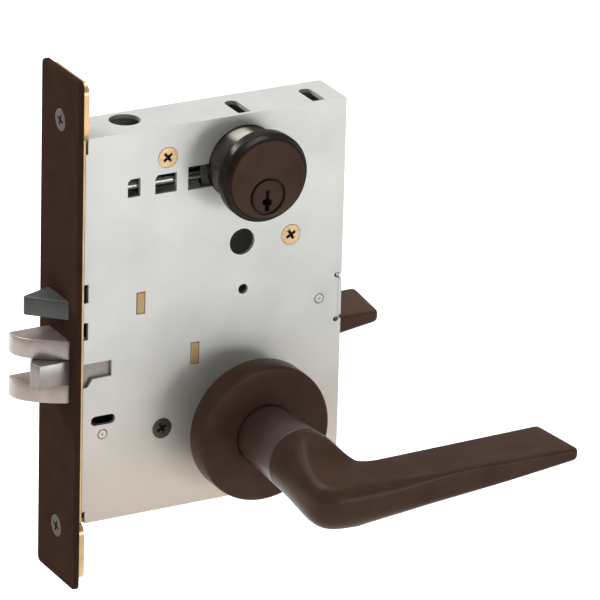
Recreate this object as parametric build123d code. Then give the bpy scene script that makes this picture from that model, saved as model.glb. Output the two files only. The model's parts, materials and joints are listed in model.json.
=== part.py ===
from build123d import *
import math
import os

# Mortise lock with an outside cylinder and two lever handles.
# Frame, in mm: the origin is the centre of the armoured front's outer face,
# +X runs into the door, -Y is the outside of the door and +Z is up.

# ---- armoured front and door-edge flange ----
FRONT_W = 31.75            # width of the armoured front, 1-1/4 in
FRONT_H = 203.2            # height of the armoured front, 8 in
FRONT_T = 2.0              # its thickness
FRONT_CORNER_R = 2.4
FLANGE_T = 2.4             # the case's own front plate, behind the armoured front
FLANGE_EAR_W = 30.6
FLANGE_EAR_H = 22.6        # height of the rounded ear past each end of the case
FLANGE_EAR_R = 4.0
FRONT_SCREW_SPACING = 163.0
FRONT_SCREW_HEAD_R = 4.6
FRONT_SCREW_R = 2.4
DOOR_SCREW_SPACING = 182.0
DOOR_SCREW_HOLE_R = 2.6

# ---- case ----
CASE_DEPTH = 112.8         # from the armoured front's outer face to the rear wall
CASE_H = 154.0             # 6-1/16 in
CASE_Z = 1.1               # height of the case's middle above the origin
CASE_T = 25.4              # 1 in, across the door
CASE_BEND_R = 5.5          # outer radius where the walls are bent from the back
WALL = 1.6                 # sheet thickness of the case and of the cover
TOP_HOLE_R = 6.0
TOP_HOLE_X = 26.5
TOP_SLOT_W = 5.2
TOP_SLOT_L = 13.3
TOP_SLOTS_X = (70.6, 101.8)

# ---- axes ----
BACKSET = 69.85            # 2-3/4 in, from the front to the lever and cylinder axes
LEVER_Z = -42.3            # height of the lever axis
PLUG_DROP = 6.7            # the plug sits this far below the cylinder's middle
TURN_Z = 27.3              # height of the thumbturn spindle's hole
TURN_HOLE_R = 5.2
DOOR_T = 50.8              # thickness of the door that the trim is set for

# ---- fits ----
SLIDE_GAP = 0.4            # flat pieces that slide past one another
RUN_GAP = 0.05             # radial clearance of a shaft in its hole
LOOSE_GAP = 0.3            # round pieces that only pass through
CONTACT_GAP = 0.5          # between a cam or hub arm and what it pushes, at rest

# ---- bolts ----
LATCH_THROW = 16.5         # how far the latch stands out of the front
LATCH_Z = -14.8            # height of the latch's middle
LATCH_H = 25.2
LATCH_Y = (-9.2, 8.7)      # its near and far sides
LATCH_BACK_X = 20.0
TONGUE_H = 9.5             # the anti-friction tongue between the latch's two lobes
TONGUE_PIVOT = (7.0, 3.0)  # X, Y
AUX_THROW = 12.5
AUX_Z = 9.65
AUX_H = 7.3
AUX_Y = (-8.7, 8.6)
AUX_TIP_Y = 3.4            # where its two slopes meet
AUX_TIP_W = 1.2
AUX_BACK_X = 15.0
AUX_TAIL_T = 2.0

# ---- latch tail and hubs ----
TAIL_T = 4.0
TAIL_H = 17.0
CROSSBAR_T = 4.0
CROSSBAR_W = 21.0          # along Y, so that it meets both hubs' arms
CROSSBAR_Z = (-24.4, -17.0)
LEVER_TURN = 45.0          # degrees from rest to fully down
HUB_R = 9.5
JOURNAL_R = 10.0           # where a hub turns in the case wall
HUB_ARM_W = 4.0
HUB_NOSE_R = 3.0
HUB_ARM_Y = (2.5, 9.5)     # the arm's layer, either side of the latch tail
SPINDLE = 8.0              # square spindle
SPINDLE_BORE_GAP = 0.1

# ---- guide stakes, posts, rivets ----
STAKE_X = 3.7
STAKE_Z = 8.8
AUX_STAKE = (27.9, 9.65)   # X, Z of the stake that the auxiliary latch's tail slides on
TAIL_STAKE = (50.9, -14.4)
POST_R = 3.6
COVER_SCREW_RISE = 10.0    # the upper cover screw, above the clamp screw
LOCK_SCREW = (37.7, -42.7)
RIVETS = ((103.3, -1.3), (12.7, -40.6))
RIVET_R = 2.05
SCREW_R = 1.9
COVER_SCREW_HEAD_R = 4.15
SMALL_HOLE = (70.7, 8.1, 2.0)
EDGE_SLOT = (7.8, 17.9, -34.85, 1.9)    # X of its ends, Z, end radius

# ---- trim: roses, necks and levers ----
ROSE_R = 27.0
ROSE_T = 9.8
ROSE_WALL = 1.6
CAGE_T = 3.2               # plate of the spring cage behind the rose
CAGE_BOSS_R = 14.0
NECK_R = 11.6              # at the rose
NECK_END_R = 12.9          # at the seam with the lever
NECK_BORE_GAP = 0.54       # round the spindle's corners
SET_SCREW_BACK = 1.7        # the set screw's distance back from the seam
SET_SCREW_R = 1.2
SEAM_OUT = {-1: 36.6, 1: 13.0}    # each seam's distance from the door's face
TRIM_BOLT_ORBIT = 19.5     # the trim bolts lie this far from the axis
TRIM_BOLT_ANGLES = (-135.0, -45.0)    # degrees from +X towards +Z
TRIM_POST_R = 4.0
TRIM_BOLT_R = 2.5
TRIM_BOLT_HEAD_R = 3.6
RETURN_SPRING_WIRE = 1.3
ARM_TOP_Z = -38.6          # flat top of the lever's arm
ARM_IN = {-1: 51.2, 1: 21.6}      # each arm's door side, from the door's face
ARM_W_ROOT = 23.6
ARM_W_TIP = 26.1
ARM_TIP_X = 166.4          # at the tip's outer corner
ARM_TIP_SLANT = 2.9        # the inner corner stands this far short of it
ARM_T_ROOT = 18.4
ARM_T_TIP = 4.7

# ---- cylinder ----
CYL_R = 14.6               # threaded body
CYL_HEAD_LIP = 0.8         # how far the head stands past the body
CYL_FACE_OUT = 7.0         # the face's distance from the door's face
CYL_HEAD_T = 2.2
CYL_BACK_Y = -6.6
COLLAR_RIM = 2.1           # the collar's rim stands this far past the head
COLLAR_RIM_L = 4.4
COLLAR_STEP = 0.6
COLLAR_LIP = 0.6           # its front edge, past the head
COLLAR_SET_BACK = 0.4      # behind the cylinder's face
RING_WALL = 2.9            # threaded ring inside the case
RING_TOP_GAP = 0.1         # under the case's top wall
RING_BACK_Y = -7.4
PLUG_R = 6.35
PIN_R = 1.5
PIN_COUNT = 6
PIN_PITCH = 3.6
FIRST_PIN_Y = -27.6
CAM_T = 2.2
CAM_R = 6.0
CAM_LOBE_R = 12.0
CLAMP_DROP = 3.1           # the clamp screw, below the cylinder's middle

# ---- springs ----
LATCH_SPRING_R = 4.0
LATCH_SPRING_Y = 5.6
LATCH_SPRING_END_X = 103.0
AUX_SPRING_R = 2.9
AUX_SPRING_END_X = 57.0
SPRING_WIRE = 1.0

# ---- worked-out places ----
NEAR_Y = -CASE_T / 2
FAR_Y = CASE_T / 2
COVER_IN_Y = NEAR_Y + WALL
BACK_IN_Y = FAR_Y - WALL
CASE_X0 = FRONT_T + FLANGE_T
CASE_TOP = CASE_Z + CASE_H / 2
CASE_BOTTOM = CASE_Z - CASE_H / 2
DOOR_Y = DOOR_T / 2
CYL_HEAD_R = CYL_R + CYL_HEAD_LIP
COLLAR_R = CYL_HEAD_R + COLLAR_RIM
COLLAR_FRONT_R = CYL_HEAD_R + COLLAR_LIP
RING_R = CYL_R + RING_WALL
CYL_Z = CASE_TOP - WALL - RING_TOP_GAP - RING_R
PLUG_Z = CYL_Z - PLUG_DROP
CLAMP_Z = CYL_Z - CLAMP_DROP
COVER_SCREWS = ((38.2, CLAMP_Z + COVER_SCREW_RISE), (90.5, 26.8))
NECK_BORE_R = SPINDLE * math.sqrt(2) / 2 + NECK_BORE_GAP
LATCH_TOP = LATCH_Z + LATCH_H / 2
LATCH_BOTTOM = LATCH_Z - LATCH_H / 2
AUX_TOP = AUX_Z + AUX_H / 2
AUX_BOTTOM = AUX_Z - AUX_H / 2
NOSE_ORBIT = LATCH_THROW / (2 * math.sin(math.radians(LEVER_TURN / 2)))
CROSSBAR_X = (
    BACKSET - NOSE_ORBIT * math.sin(math.radians(LEVER_TURN / 2)) + HUB_NOSE_R + CONTACT_GAP
)
FRONT_MID_Z = CASE_Z - 0.4
OUTSIDE = -1
INSIDE = 1


# ---- helpers ----
def block(x0, x1, y0, y1, z0, z1):
    """A box from its lowest to its highest corner."""
    middle = ((x0 + x1) / 2, (y0 + y1) / 2, (z0 + z1) / 2)
    return Pos(*middle) * Box(abs(x1 - x0), abs(y1 - y0), abs(z1 - z0))


def rod_x(y, z, r, x0, x1):
    """A round bar along X."""
    return Pos((x0 + x1) / 2, y, z) * Rot(0, 90, 0) * Cylinder(r, abs(x1 - x0))


def rod_y(x, z, r, y0, y1):
    """A round bar along Y."""
    return Pos(x, (y0 + y1) / 2, z) * Rot(90, 0, 0) * Cylinder(r, abs(y1 - y0))


def rod_z(x, y, r, z0, z1):
    """A round bar along Z."""
    return Pos(x, y, (z0 + z1) / 2) * Cylinder(r, abs(z1 - z0))


def taper_y(x, z, r0, r1, y0, y1):
    """A cone along Y, of radius r0 at y0 and r1 at y1."""
    low, high = (r0, r1) if y0 < y1 else (r1, r0)
    middle = Pos(x, (y0 + y1) / 2, z)
    return middle * Rot(-90, 0, 0) * Cone(low, high, abs(y1 - y0))


def slab_y(outline, y0, y1):
    """An outline in X and Z, drawn out along Y."""
    high, low = max(y0, y1), min(y0, y1)
    plane = Plane(origin=(0, high, 0), x_dir=(1, 0, 0), z_dir=(0, -1, 0))
    face = plane * make_face(Polyline(*outline, close=True))
    return extrude(face, amount=high - low)


def slab_z(outline, z0, z1):
    """An outline in X and Y, drawn out along Z."""
    face = Pos(0, 0, z0) * make_face(outline)
    return extrude(face, amount=z1 - z0)


def lines_xy(*points):
    """A closed outline of straight lines in the XY plane."""
    return Polyline(*points, close=True)


def plate_x(width, height, corner_r, x0, x1, z_mid=0.0):
    """A plate square to X with rounded corners."""
    plane = Plane(origin=(x0, 0, z_mid), x_dir=(0, 1, 0), z_dir=(1, 0, 0))
    return extrude(plane * RectangleRounded(width, height, corner_r), amount=x1 - x0)


def countersunk_y(x, z, head_r, shank_r, face_y, tip_y):
    """A flat-headed screw along Y with its head's top at face_y."""
    way = 1 if tip_y > face_y else -1
    head_end = face_y + way * (head_r - shank_r)
    head = taper_y(x, z, head_r, shank_r, face_y, head_end)
    return head + rod_y(x, z, shank_r, head_end, tip_y)


def cross_recess_y(x, z, size, face_y, depth):
    """Two crossed slots cut into a screw head square to Y."""
    slot = size * 0.28
    across = block(x - size, x + size, face_y - depth, face_y + depth, z - slot, z + slot)
    upright = block(x - slot, x + slot, face_y - depth, face_y + depth, z - size, z + size)
    return across + upright


# ---- front ----
def latch_opening(x0, x1, gap):
    return block(
        x0, x1, LATCH_Y[0] - gap - SLIDE_GAP, LATCH_Y[1] + gap,
        LATCH_BOTTOM - gap, LATCH_TOP + gap,
    )


def aux_opening(x0, x1, gap):
    return block(x0, x1, AUX_Y[0] - gap, AUX_Y[1] + gap, AUX_BOTTOM - gap, AUX_TOP + gap)


def front_screw_heights():
    return [FRONT_MID_Z + side * FRONT_SCREW_SPACING / 2 for side in (1, -1)]


def armour_front():
    plate = plate_x(FRONT_W, FRONT_H, FRONT_CORNER_R, 0, FRONT_T)
    outer_edges = plate.faces().sort_by(Axis.X)[0].edges()
    plate = fillet(outer_edges, FRONT_T * 0.3)
    plate -= latch_opening(-1, FRONT_T + 1, SLIDE_GAP)
    plate -= aux_opening(-1, FRONT_T + 1, SLIDE_GAP)
    for z in front_screw_heights():
        cone = Cone(FRONT_SCREW_HEAD_R, FRONT_SCREW_R, FRONT_T)
        plate -= Pos(FRONT_T / 2, 0, z) * Rot(0, 90, 0) * cone
    return plate


def front_flange():
    centre = block(
        FRONT_T, CASE_X0, NEAR_Y + 0.2, FAR_Y - 0.2, CASE_BOTTOM + 0.5, CASE_TOP - 0.5
    )
    flange = centre
    for side in (1, -1):
        edge = CASE_TOP if side > 0 else CASE_BOTTOM
        ear_mid = edge + side * (FLANGE_EAR_H / 2 - 0.5)
        flange += plate_x(
            FLANGE_EAR_W, FLANGE_EAR_H, FLANGE_EAR_R, FRONT_T, CASE_X0, ear_mid
        )
        z = FRONT_MID_Z + side * DOOR_SCREW_SPACING / 2
        flange -= rod_x(0, z, DOOR_SCREW_HOLE_R, FRONT_T - 1, CASE_X0 + 1)
    flange -= latch_opening(FRONT_T - 1, CASE_X0 + 1, SLIDE_GAP)
    flange -= aux_opening(FRONT_T - 1, CASE_X0 + 1, SLIDE_GAP)
    for z in front_screw_heights():
        flange -= rod_x(0, z, FRONT_SCREW_R + RUN_GAP, FRONT_T - 1, CASE_X0 + 1)
    flange -= rod_x(CLAMP_Y, CLAMP_Z, CLAMP_R + RUN_GAP, FRONT_T - 1, CASE_X0 + 1)
    return flange


def armour_front_screws():
    screws = []
    for z in front_screw_heights():
        sink = FRONT_T
        head = Pos(sink / 2, 0, z) * Rot(0, 90, 0) * Cone(
            FRONT_SCREW_HEAD_R, FRONT_SCREW_R, sink
        )
        screw = head + rod_x(0, z, FRONT_SCREW_R, sink, CASE_X0 + 0.6)
        size = FRONT_SCREW_HEAD_R * 0.55
        slot = size * 0.28
        screw -= block(-1, 1.0, -size, size, z - slot, z + slot)
        screw -= block(-1, 1.0, -slot, slot, z - size, z + size)
        screws.append(screw)
    return Compound(children=screws)


# ---- case ----
def post_places():
    return list(COVER_SCREWS) + [LOCK_SCREW]


def trim_bolt_places():
    turns = [math.radians(angle) for angle in TRIM_BOLT_ANGLES]
    return [
        (BACKSET + TRIM_BOLT_ORBIT * math.cos(turn), LEVER_Z + TRIM_BOLT_ORBIT * math.sin(turn))
        for turn in turns
    ]


def case_shell():
    outer = block(CASE_X0, CASE_DEPTH, COVER_IN_Y, FAR_Y, CASE_BOTTOM, CASE_TOP)
    bent = outer.edges().filter_by(
        lambda e: e.center().Y > FAR_Y - 0.01 and e.center().X > CASE_X0 + 1
    )
    outer = fillet(bent, CASE_BEND_R)
    inner = block(
        CASE_X0 - 1, CASE_DEPTH - WALL, COVER_IN_Y - 1, BACK_IN_Y,
        CASE_BOTTOM + WALL, CASE_TOP - WALL,
    )
    bent_in = inner.edges().filter_by(
        lambda e: e.center().Y > BACK_IN_Y - 0.01 and e.center().X > CASE_X0
    )
    shell = outer - fillet(bent_in, CASE_BEND_R - WALL)
    shell -= rod_z(TOP_HOLE_X, 0, TOP_HOLE_R, CASE_TOP - WALL - 1, CASE_TOP + 1)
    for x in TOP_SLOTS_X:
        end_y = COVER_IN_Y + TOP_SLOT_L - TOP_SLOT_W / 2
        low, high = CASE_TOP - WALL - 1, CASE_TOP + 1
        shell -= block(
            x - TOP_SLOT_W / 2, x + TOP_SLOT_W / 2, COVER_IN_Y - 1, end_y, low, high
        )
        shell -= rod_z(x, end_y, TOP_SLOT_W / 2, low, high)
    shell -= rod_y(BACKSET, LEVER_Z, JOURNAL_R + RUN_GAP, BACK_IN_Y - 1, FAR_Y + 1)
    shell -= rod_y(BACKSET, TURN_Z, TURN_HOLE_R, BACK_IN_Y - 1, FAR_Y + 1)
    for x, z in trim_bolt_places():
        shell -= rod_y(x, z, TRIM_BOLT_R + LOOSE_GAP, BACK_IN_Y - 1, FAR_Y + 1)
    for x, z in RIVETS:
        shell -= rod_y(x, z, RIVET_R, BACK_IN_Y - 1, FAR_Y + 1)
    shell += rear_tab()
    return shell


REAR_TAB_Z = (-10.9, 7.1)
REAR_TAB_DEPTH = 1.5


def rear_tab():
    """The rear wall's tab, which the cover's notch hooks over."""
    return block(
        CASE_DEPTH - REAR_TAB_DEPTH + 0.1, CASE_DEPTH, NEAR_Y, COVER_IN_Y,
        REAR_TAB_Z[0] + 1.6, REAR_TAB_Z[1] - 1.6,
    )


def case_cover():
    cover = block(CASE_X0, CASE_DEPTH, NEAR_Y, COVER_IN_Y, CASE_BOTTOM, CASE_TOP)
    y0, y1 = NEAR_Y - 1, COVER_IN_Y + 1
    # windows over the cylinder's clamp screw
    z = CLAMP_Z
    cover -= slab_y([(21.8, z - 3.4), (27.0, z - 3.4), (27.0, z + 3.8), (23.0, z + 3.8),
                     (21.8, z + 2.6)], y0, y1)
    cover -= slab_y([(33.1, z - 3.8), (42.0, z - 3.8), (42.0, z + 3.7), (34.3, z + 3.7),
                     (33.1, z + 2.5)], y0, y1)
    cover -= block(46.7, BACKSET - 10, y0, y1, z - 4.3, z + 4.9)
    # hole for the cylinder
    cover -= rod_y(BACKSET, CYL_Z, CYL_R + 0.2, y0, y1)
    # window, slot and edge notches by the front
    cover -= slab_y(
        [(CASE_X0 - 1, -21.0), (6.2, -20.6), (8.2, -17.6), (16.1, -17.4), (16.1, -11.1),
         (CASE_X0 - 1, -11.1)], y0, y1,
    )
    for low, high in ((13.3, 20.7), (-1.5, 5.5)):
        cover -= block(CASE_X0 - 1, 6.2, y0, y1, low, high)
    x0, x1, z, r = EDGE_SLOT
    cover -= block(x0 + r, x1 - r, y0, y1, z - r, z + r)
    for x in (x0 + r, x1 - r):
        cover -= rod_y(x, z, r, y0, y1)
    cover -= block(CASE_X0 - 1, CASE_X0 + 1.0, y0, y1, 72.1, CASE_TOP + 1)
    cover -= block(CASE_X0 - 1, CASE_X0 + 1.3, y0, y1, CASE_BOTTOM - 1, -71.1)
    # rear notch with its relief holes
    cover -= block(CASE_DEPTH - REAR_TAB_DEPTH, CASE_DEPTH + 1, y0, y1, *REAR_TAB_Z)
    for z in REAR_TAB_Z:
        cover -= rod_y(CASE_DEPTH - REAR_TAB_DEPTH - 0.6, z, 1.1, y0, y1)
    # round holes
    cover -= rod_y(BACKSET, TURN_Z, TURN_HOLE_R, y0, y1)
    cover -= rod_y(SMALL_HOLE[0], SMALL_HOLE[1], SMALL_HOLE[2], y0, y1)
    cover -= rod_y(BACKSET, LEVER_Z, JOURNAL_R + RUN_GAP, y0, y1)
    for x, z in trim_bolt_places():
        cover -= rod_y(x, z, TRIM_POST_R + LOOSE_GAP, y0, y1)
    for x, z in RIVETS:
        cover -= rod_y(x, z, RIVET_R, y0, y1)
    for x, z in (AUX_STAKE, TAIL_STAKE):
        cover -= block(x - STAKE_X / 2, x + STAKE_X / 2, y0, y1, z - STAKE_Z / 2, z + STAKE_Z / 2)
    for x, z in COVER_SCREWS:
        cover -= taper_y(x, z, COVER_SCREW_HEAD_R, SCREW_R, NEAR_Y,
                         NEAR_Y + COVER_SCREW_HEAD_R - SCREW_R)
        cover -= rod_y(x, z, SCREW_R, y0, y1)
    cover -= rod_y(*LOCK_SCREW, COVER_SCREW_HEAD_R, y0, NEAR_Y + 0.8)
    cover -= rod_y(*LOCK_SCREW, SCREW_R, y0, y1)
    return cover


def screw_length():
    return COVER_IN_Y + 9.0


def cover_screws():
    screws = []
    for x, z in COVER_SCREWS:
        screw = countersunk_y(x, z, COVER_SCREW_HEAD_R, SCREW_R, NEAR_Y, screw_length())
        screws.append(screw - cross_recess_y(x, z, COVER_SCREW_HEAD_R * 0.6, NEAR_Y, 1.0))
    return Compound(children=screws)


def cover_lock_screw():
    x, z = LOCK_SCREW
    screw = rod_y(x, z, COVER_SCREW_HEAD_R - 0.1, NEAR_Y + 0.1, NEAR_Y + 0.8)
    screw += rod_y(x, z, SCREW_R, NEAR_Y + 0.8, screw_length())
    return screw - cross_recess_y(x, z, COVER_SCREW_HEAD_R * 0.6, NEAR_Y, 0.5)


def cover_posts():
    posts = []
    for x, z in post_places():
        post = rod_y(x, z, POST_R, COVER_IN_Y, BACK_IN_Y)
        if (x, z) != LOCK_SCREW:
            post -= taper_y(x, z, COVER_SCREW_HEAD_R, SCREW_R, NEAR_Y,
                            NEAR_Y + COVER_SCREW_HEAD_R - SCREW_R)
        posts.append(post - rod_y(x, z, SCREW_R, COVER_IN_Y - 1, screw_length()))
    return Compound(children=posts)


def guide_stakes():
    stakes = []
    for x, z in (AUX_STAKE, TAIL_STAKE):
        stakes.append(block(
            x - STAKE_X / 2, x + STAKE_X / 2, NEAR_Y - 0.1, BACK_IN_Y,
            z - STAKE_Z / 2, z + STAKE_Z / 2,
        ))
    return Compound(children=stakes)


def case_rivets():
    return Compound(children=[
        rod_y(x, z, RIVET_R, NEAR_Y - 0.15, FAR_Y + 0.15) for x, z in RIVETS
    ])


GUIDE_T = 1.0
GUIDE_X = (5.0, 19.0)


def latch_guide():
    """Formed channel round the latch, inside the case."""
    near = COVER_IN_Y + 0.1
    top = LATCH_TOP + SLIDE_GAP
    bottom = LATCH_BOTTOM - SLIDE_GAP
    x0, x1 = GUIDE_X
    guide = block(x0, x1, near, near + GUIDE_T, bottom - GUIDE_T, top + GUIDE_T)
    guide += block(x0, x1, near, BACK_IN_Y, top, top + GUIDE_T)
    guide += block(x0, x1, near, BACK_IN_Y, bottom - GUIDE_T, bottom)
    return guide


# ---- latch ----
def latch_head():
    """Curved-face latch bolt with two lobes and a web behind them."""
    near, far = LATCH_Y
    outline = Curve() + [
        Line((LATCH_BACK_X, near), (0, near)),
        ThreePointArc((0, near), (-LATCH_THROW * 0.79, near + 8.4), (-LATCH_THROW, far - 1.1)),
        Line((-LATCH_THROW, far - 1.1), (-LATCH_THROW + 0.8, far)),
        Line((-LATCH_THROW + 0.8, far), (LATCH_BACK_X, far)),
        Line((LATCH_BACK_X, far), (LATCH_BACK_X, near)),
    ]
    head = slab_z(outline, LATCH_BOTTOM, LATCH_TOP)
    notch_h = TONGUE_H + 0.2
    head -= block(
        -LATCH_THROW - 1, TONGUE_PIVOT[0] + 6.0, near - 1, far + 1,
        LATCH_Z - notch_h / 2, LATCH_Z + notch_h / 2,
    )
    head -= rod_z(*TONGUE_PIVOT, PIN_R, LATCH_BOTTOM + 1.5, LATCH_TOP - 1.5)
    head -= block(TAIL_X0, LATCH_BACK_X + 1, -TAIL_T / 2, TAIL_T / 2, *tail_span())
    head -= rod_y(TAIL_X0 + 3.0, LATCH_Z, PIN_R, near + 1, far - 1)
    return head


TAIL_X0 = TONGUE_PIVOT[0] + 7.0


def tail_span():
    return (-23.0, -23.0 + TAIL_H)


def latch_tail():
    low, high = tail_span()
    end_x = CROSSBAR_X + CROSSBAR_T
    tail = block(TAIL_X0, end_x, -TAIL_T / 2, TAIL_T / 2, low, high)
    x, z = TAIL_STAKE
    slot_x0 = x - STAKE_X / 2 - LATCH_THROW - SLIDE_GAP
    slot_x1 = x + STAKE_X / 2 + SLIDE_GAP
    half = STAKE_Z / 2 + SLIDE_GAP
    tail -= block(slot_x0, slot_x1, -TAIL_T, TAIL_T, z - half, z + half)
    tail -= rod_y(TAIL_X0 + 3.0, LATCH_Z, PIN_R, -TAIL_T, TAIL_T)
    tail += block(CROSSBAR_X, end_x, -CROSSBAR_W / 2, CROSSBAR_W / 2, *CROSSBAR_Z)
    return tail


def latch_tail_pin():
    return rod_y(TAIL_X0 + 3.0, LATCH_Z, PIN_R, LATCH_Y[0] + 1, LATCH_Y[1] - 1)


def tongue_pin():
    return rod_z(*TONGUE_PIVOT, PIN_R, LATCH_BOTTOM + 1.5, LATCH_TOP - 1.5)


def antifriction_tongue():
    face = LATCH_Y[0] - 0.4
    outline = lines_xy(
        (3.0, face), (-12.4, face), (-14.1, face + 4.0), (-11.5, face + 8.0), (-9.0, 5.5),
        (TONGUE_PIVOT[0] + 4.0, 5.5), (TONGUE_PIVOT[0] + 4.0, -3.0),
    )
    tongue = slab_z(outline, LATCH_Z - TONGUE_H / 2, LATCH_Z + TONGUE_H / 2)
    return tongue - rod_z(
        *TONGUE_PIVOT, PIN_R + RUN_GAP, LATCH_Z - TONGUE_H, LATCH_Z + TONGUE_H
    )


def latch_spring():
    tube = rod_x(LATCH_SPRING_Y, LATCH_SPRING_Z, LATCH_SPRING_R,
                 CROSSBAR_X + CROSSBAR_T + 0.1, LATCH_SPRING_END_X - 0.1)
    return tube - rod_x(LATCH_SPRING_Y, LATCH_SPRING_Z, LATCH_SPRING_R - SPRING_WIRE,
                        CROSSBAR_X, LATCH_SPRING_END_X + 1)


LATCH_SPRING_Z = (CROSSBAR_Z[0] + CROSSBAR_Z[1]) / 2


def latch_spring_anchor():
    """Bracket on the back wall that the latch spring pushes against."""
    x = LATCH_SPRING_END_X
    half = LATCH_SPRING_R + 1
    anchor = block(x, x + 2, LATCH_SPRING_Y - half, BACK_IN_Y,
                   LATCH_SPRING_Z - half, LATCH_SPRING_Z + half)
    return anchor + rod_x(LATCH_SPRING_Y, LATCH_SPRING_Z, LATCH_SPRING_R - SPRING_WIRE - 0.3,
                          x - 6, x)


# ---- auxiliary latch ----
def auxiliary_latch():
    near, far = AUX_Y
    outline = lines_xy(
        (AUX_BACK_X, near), (0, near), (-AUX_THROW, AUX_TIP_Y - AUX_TIP_W / 2),
        (-AUX_THROW, AUX_TIP_Y + AUX_TIP_W / 2), (0, far), (AUX_BACK_X, far),
    )
    latch = slab_z(outline, AUX_BOTTOM, AUX_TOP)
    return latch - aux_tail_blank()


AUX_TAIL_Y = 2.2
AUX_TAIL_X = (7.0, 38.0)
AUX_TAIL_MARGIN = 2.6


def aux_tail_blank():
    x0, x1 = AUX_TAIL_X
    return block(x0, AUX_BACK_X + 1, AUX_TAIL_Y, AUX_TAIL_Y + AUX_TAIL_T,
                 AUX_BOTTOM - 1, AUX_TOP + 1)


def auxiliary_latch_tail():
    """Flat plate let into the auxiliary latch, slotted for its stake."""
    x0, x1 = AUX_TAIL_X
    y0, y1 = AUX_TAIL_Y, AUX_TAIL_Y + AUX_TAIL_T
    half = STAKE_Z / 2 + SLIDE_GAP + AUX_TAIL_MARGIN
    tail = block(x0, x1, y0, y1, AUX_Z - half, AUX_Z + half)
    x, z = AUX_STAKE
    slot_half = STAKE_Z / 2 + SLIDE_GAP
    tail -= block(
        x - STAKE_X / 2 - AUX_TRAVEL - SLIDE_GAP, x + STAKE_X / 2 + SLIDE_GAP, y0 - 1, y1 + 1,
        z - slot_half, z + slot_half,
    )
    # seat for the spring
    return tail + block(x1, x1 + 1.5, -AUX_SPRING_R, y1, AUX_Z - 3.2, AUX_Z + 3.2)


AUX_TRAVEL = 10.5


def aux_latch_spring():
    x0, x1 = AUX_TAIL_X[1] + 1.6, AUX_SPRING_END_X - 0.1
    tube = rod_x(0, AUX_Z, AUX_SPRING_R, x0, x1)
    return tube - rod_x(0, AUX_Z, AUX_SPRING_R - SPRING_WIRE, x0 - 1, x1 + 1)


def aux_spring_anchor():
    x = AUX_SPRING_END_X
    anchor = block(x, x + 2, -AUX_SPRING_R - 1, BACK_IN_Y, AUX_Z - 4, AUX_Z + 4)
    return anchor + rod_x(0, AUX_Z, AUX_SPRING_R - SPRING_WIRE - 0.3, x - 3.5, x)


DEADLOCK_PIVOT = (62.0, 3.0)
DEADLOCK_Y = (-1.4, 1.4)
DEADLOCK_PIN_R = 1.6


def deadlock_lever():
    px, pz = DEADLOCK_PIVOT
    y0, y1 = DEADLOCK_Y
    lever = rod_y(px, pz, 3.6, y0, y1)
    lever += slab_y([(px, pz + 3.4), (px - 6.0, pz + 1.5), (px - 7.5, -2.4), (px - 5.0, -3.6),
                     (px - 3.4, -2.4), (px, pz - 3.4)], y0, y1)
    lever += slab_y([(px, pz + 3.4), (px + 7.0, pz + 2.0), (px + 7.0, pz - 0.6),
                     (px, pz - 3.0)], y0, y1)
    return lever - rod_y(px, pz, DEADLOCK_PIN_R + RUN_GAP, y0 - 1, y1 + 1)


def deadlock_pivot_pin():
    px, pz = DEADLOCK_PIVOT
    return rod_y(px, pz, DEADLOCK_PIN_R, DEADLOCK_Y[0] - 0.6, BACK_IN_Y)


# ---- hubs, spindles and trim, made once for each side of the door ----
def at_side(side, depth):
    """Y of a point that lies depth from the door's middle, on one side."""
    return side * depth


def square_y(x, z, size, y0, y1):
    return block(x - size / 2, x + size / 2, min(y0, y1), max(y0, y1), z - size / 2, z + size / 2)


def hub(side):
    inner = at_side(side, 0.5)
    wall_in = at_side(side, -COVER_IN_Y - 0.1)
    wall_out = at_side(side, FAR_Y + 0.4)
    body = rod_y(BACKSET, LEVER_Z, HUB_R, inner, wall_in)
    body += rod_y(BACKSET, LEVER_Z, JOURNAL_R, wall_in, wall_out)
    lean = math.radians(LEVER_TURN / 2)
    nose_x = BACKSET - NOSE_ORBIT * math.sin(lean)
    nose_z = LEVER_Z + NOSE_ORBIT * math.cos(lean)
    arm_y = [at_side(side, y) for y in HUB_ARM_Y]
    length = NOSE_ORBIT / 2
    bar = Rot(0, -LEVER_TURN / 2, 0) * Pos(0, 0, length) * Box(
        HUB_ARM_W, abs(arm_y[1] - arm_y[0]), NOSE_ORBIT
    )
    body += Pos(BACKSET, sum(arm_y) / 2, LEVER_Z) * bar
    body += rod_y(nose_x, nose_z, HUB_NOSE_R, *arm_y)
    bore = SPINDLE + 2 * SPINDLE_BORE_GAP
    return body - square_y(BACKSET, LEVER_Z, bore, at_side(side, 0), at_side(side, 20))


def hub_washer():
    """Thin washer that keeps the two hubs apart."""
    washer = rod_y(BACKSET, LEVER_Z, HUB_R - 1, -0.3, 0.3)
    return washer - rod_y(BACKSET, LEVER_Z, SPINDLE * 0.3, -1, 1)


def spindle(side):
    return square_y(BACKSET, LEVER_Z, SPINDLE, at_side(side, 0.6), at_side(side, seam_y(side) + 10))


def seam_y(side):
    return DOOR_Y + SEAM_OUT[side]


def rose(side):
    """Round cup that hides the spring cage."""
    back, front = at_side(side, DOOR_Y), at_side(side, DOOR_Y + ROSE_T)
    cup = rod_y(BACKSET, LEVER_Z, ROSE_R, back, front)
    face = cup.faces().sort_by(Axis.Y)[0 if side < 0 else -1]
    cup = fillet(face.edges(), 1.5)
    cup -= rod_y(BACKSET, LEVER_Z, ROSE_R - ROSE_WALL, at_side(side, DOOR_Y - 1),
                 at_side(side, DOOR_Y + ROSE_T - ROSE_WALL))
    return cup - rod_y(BACKSET, LEVER_Z, NECK_R + LOOSE_GAP, back, at_side(side, 60))


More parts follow.
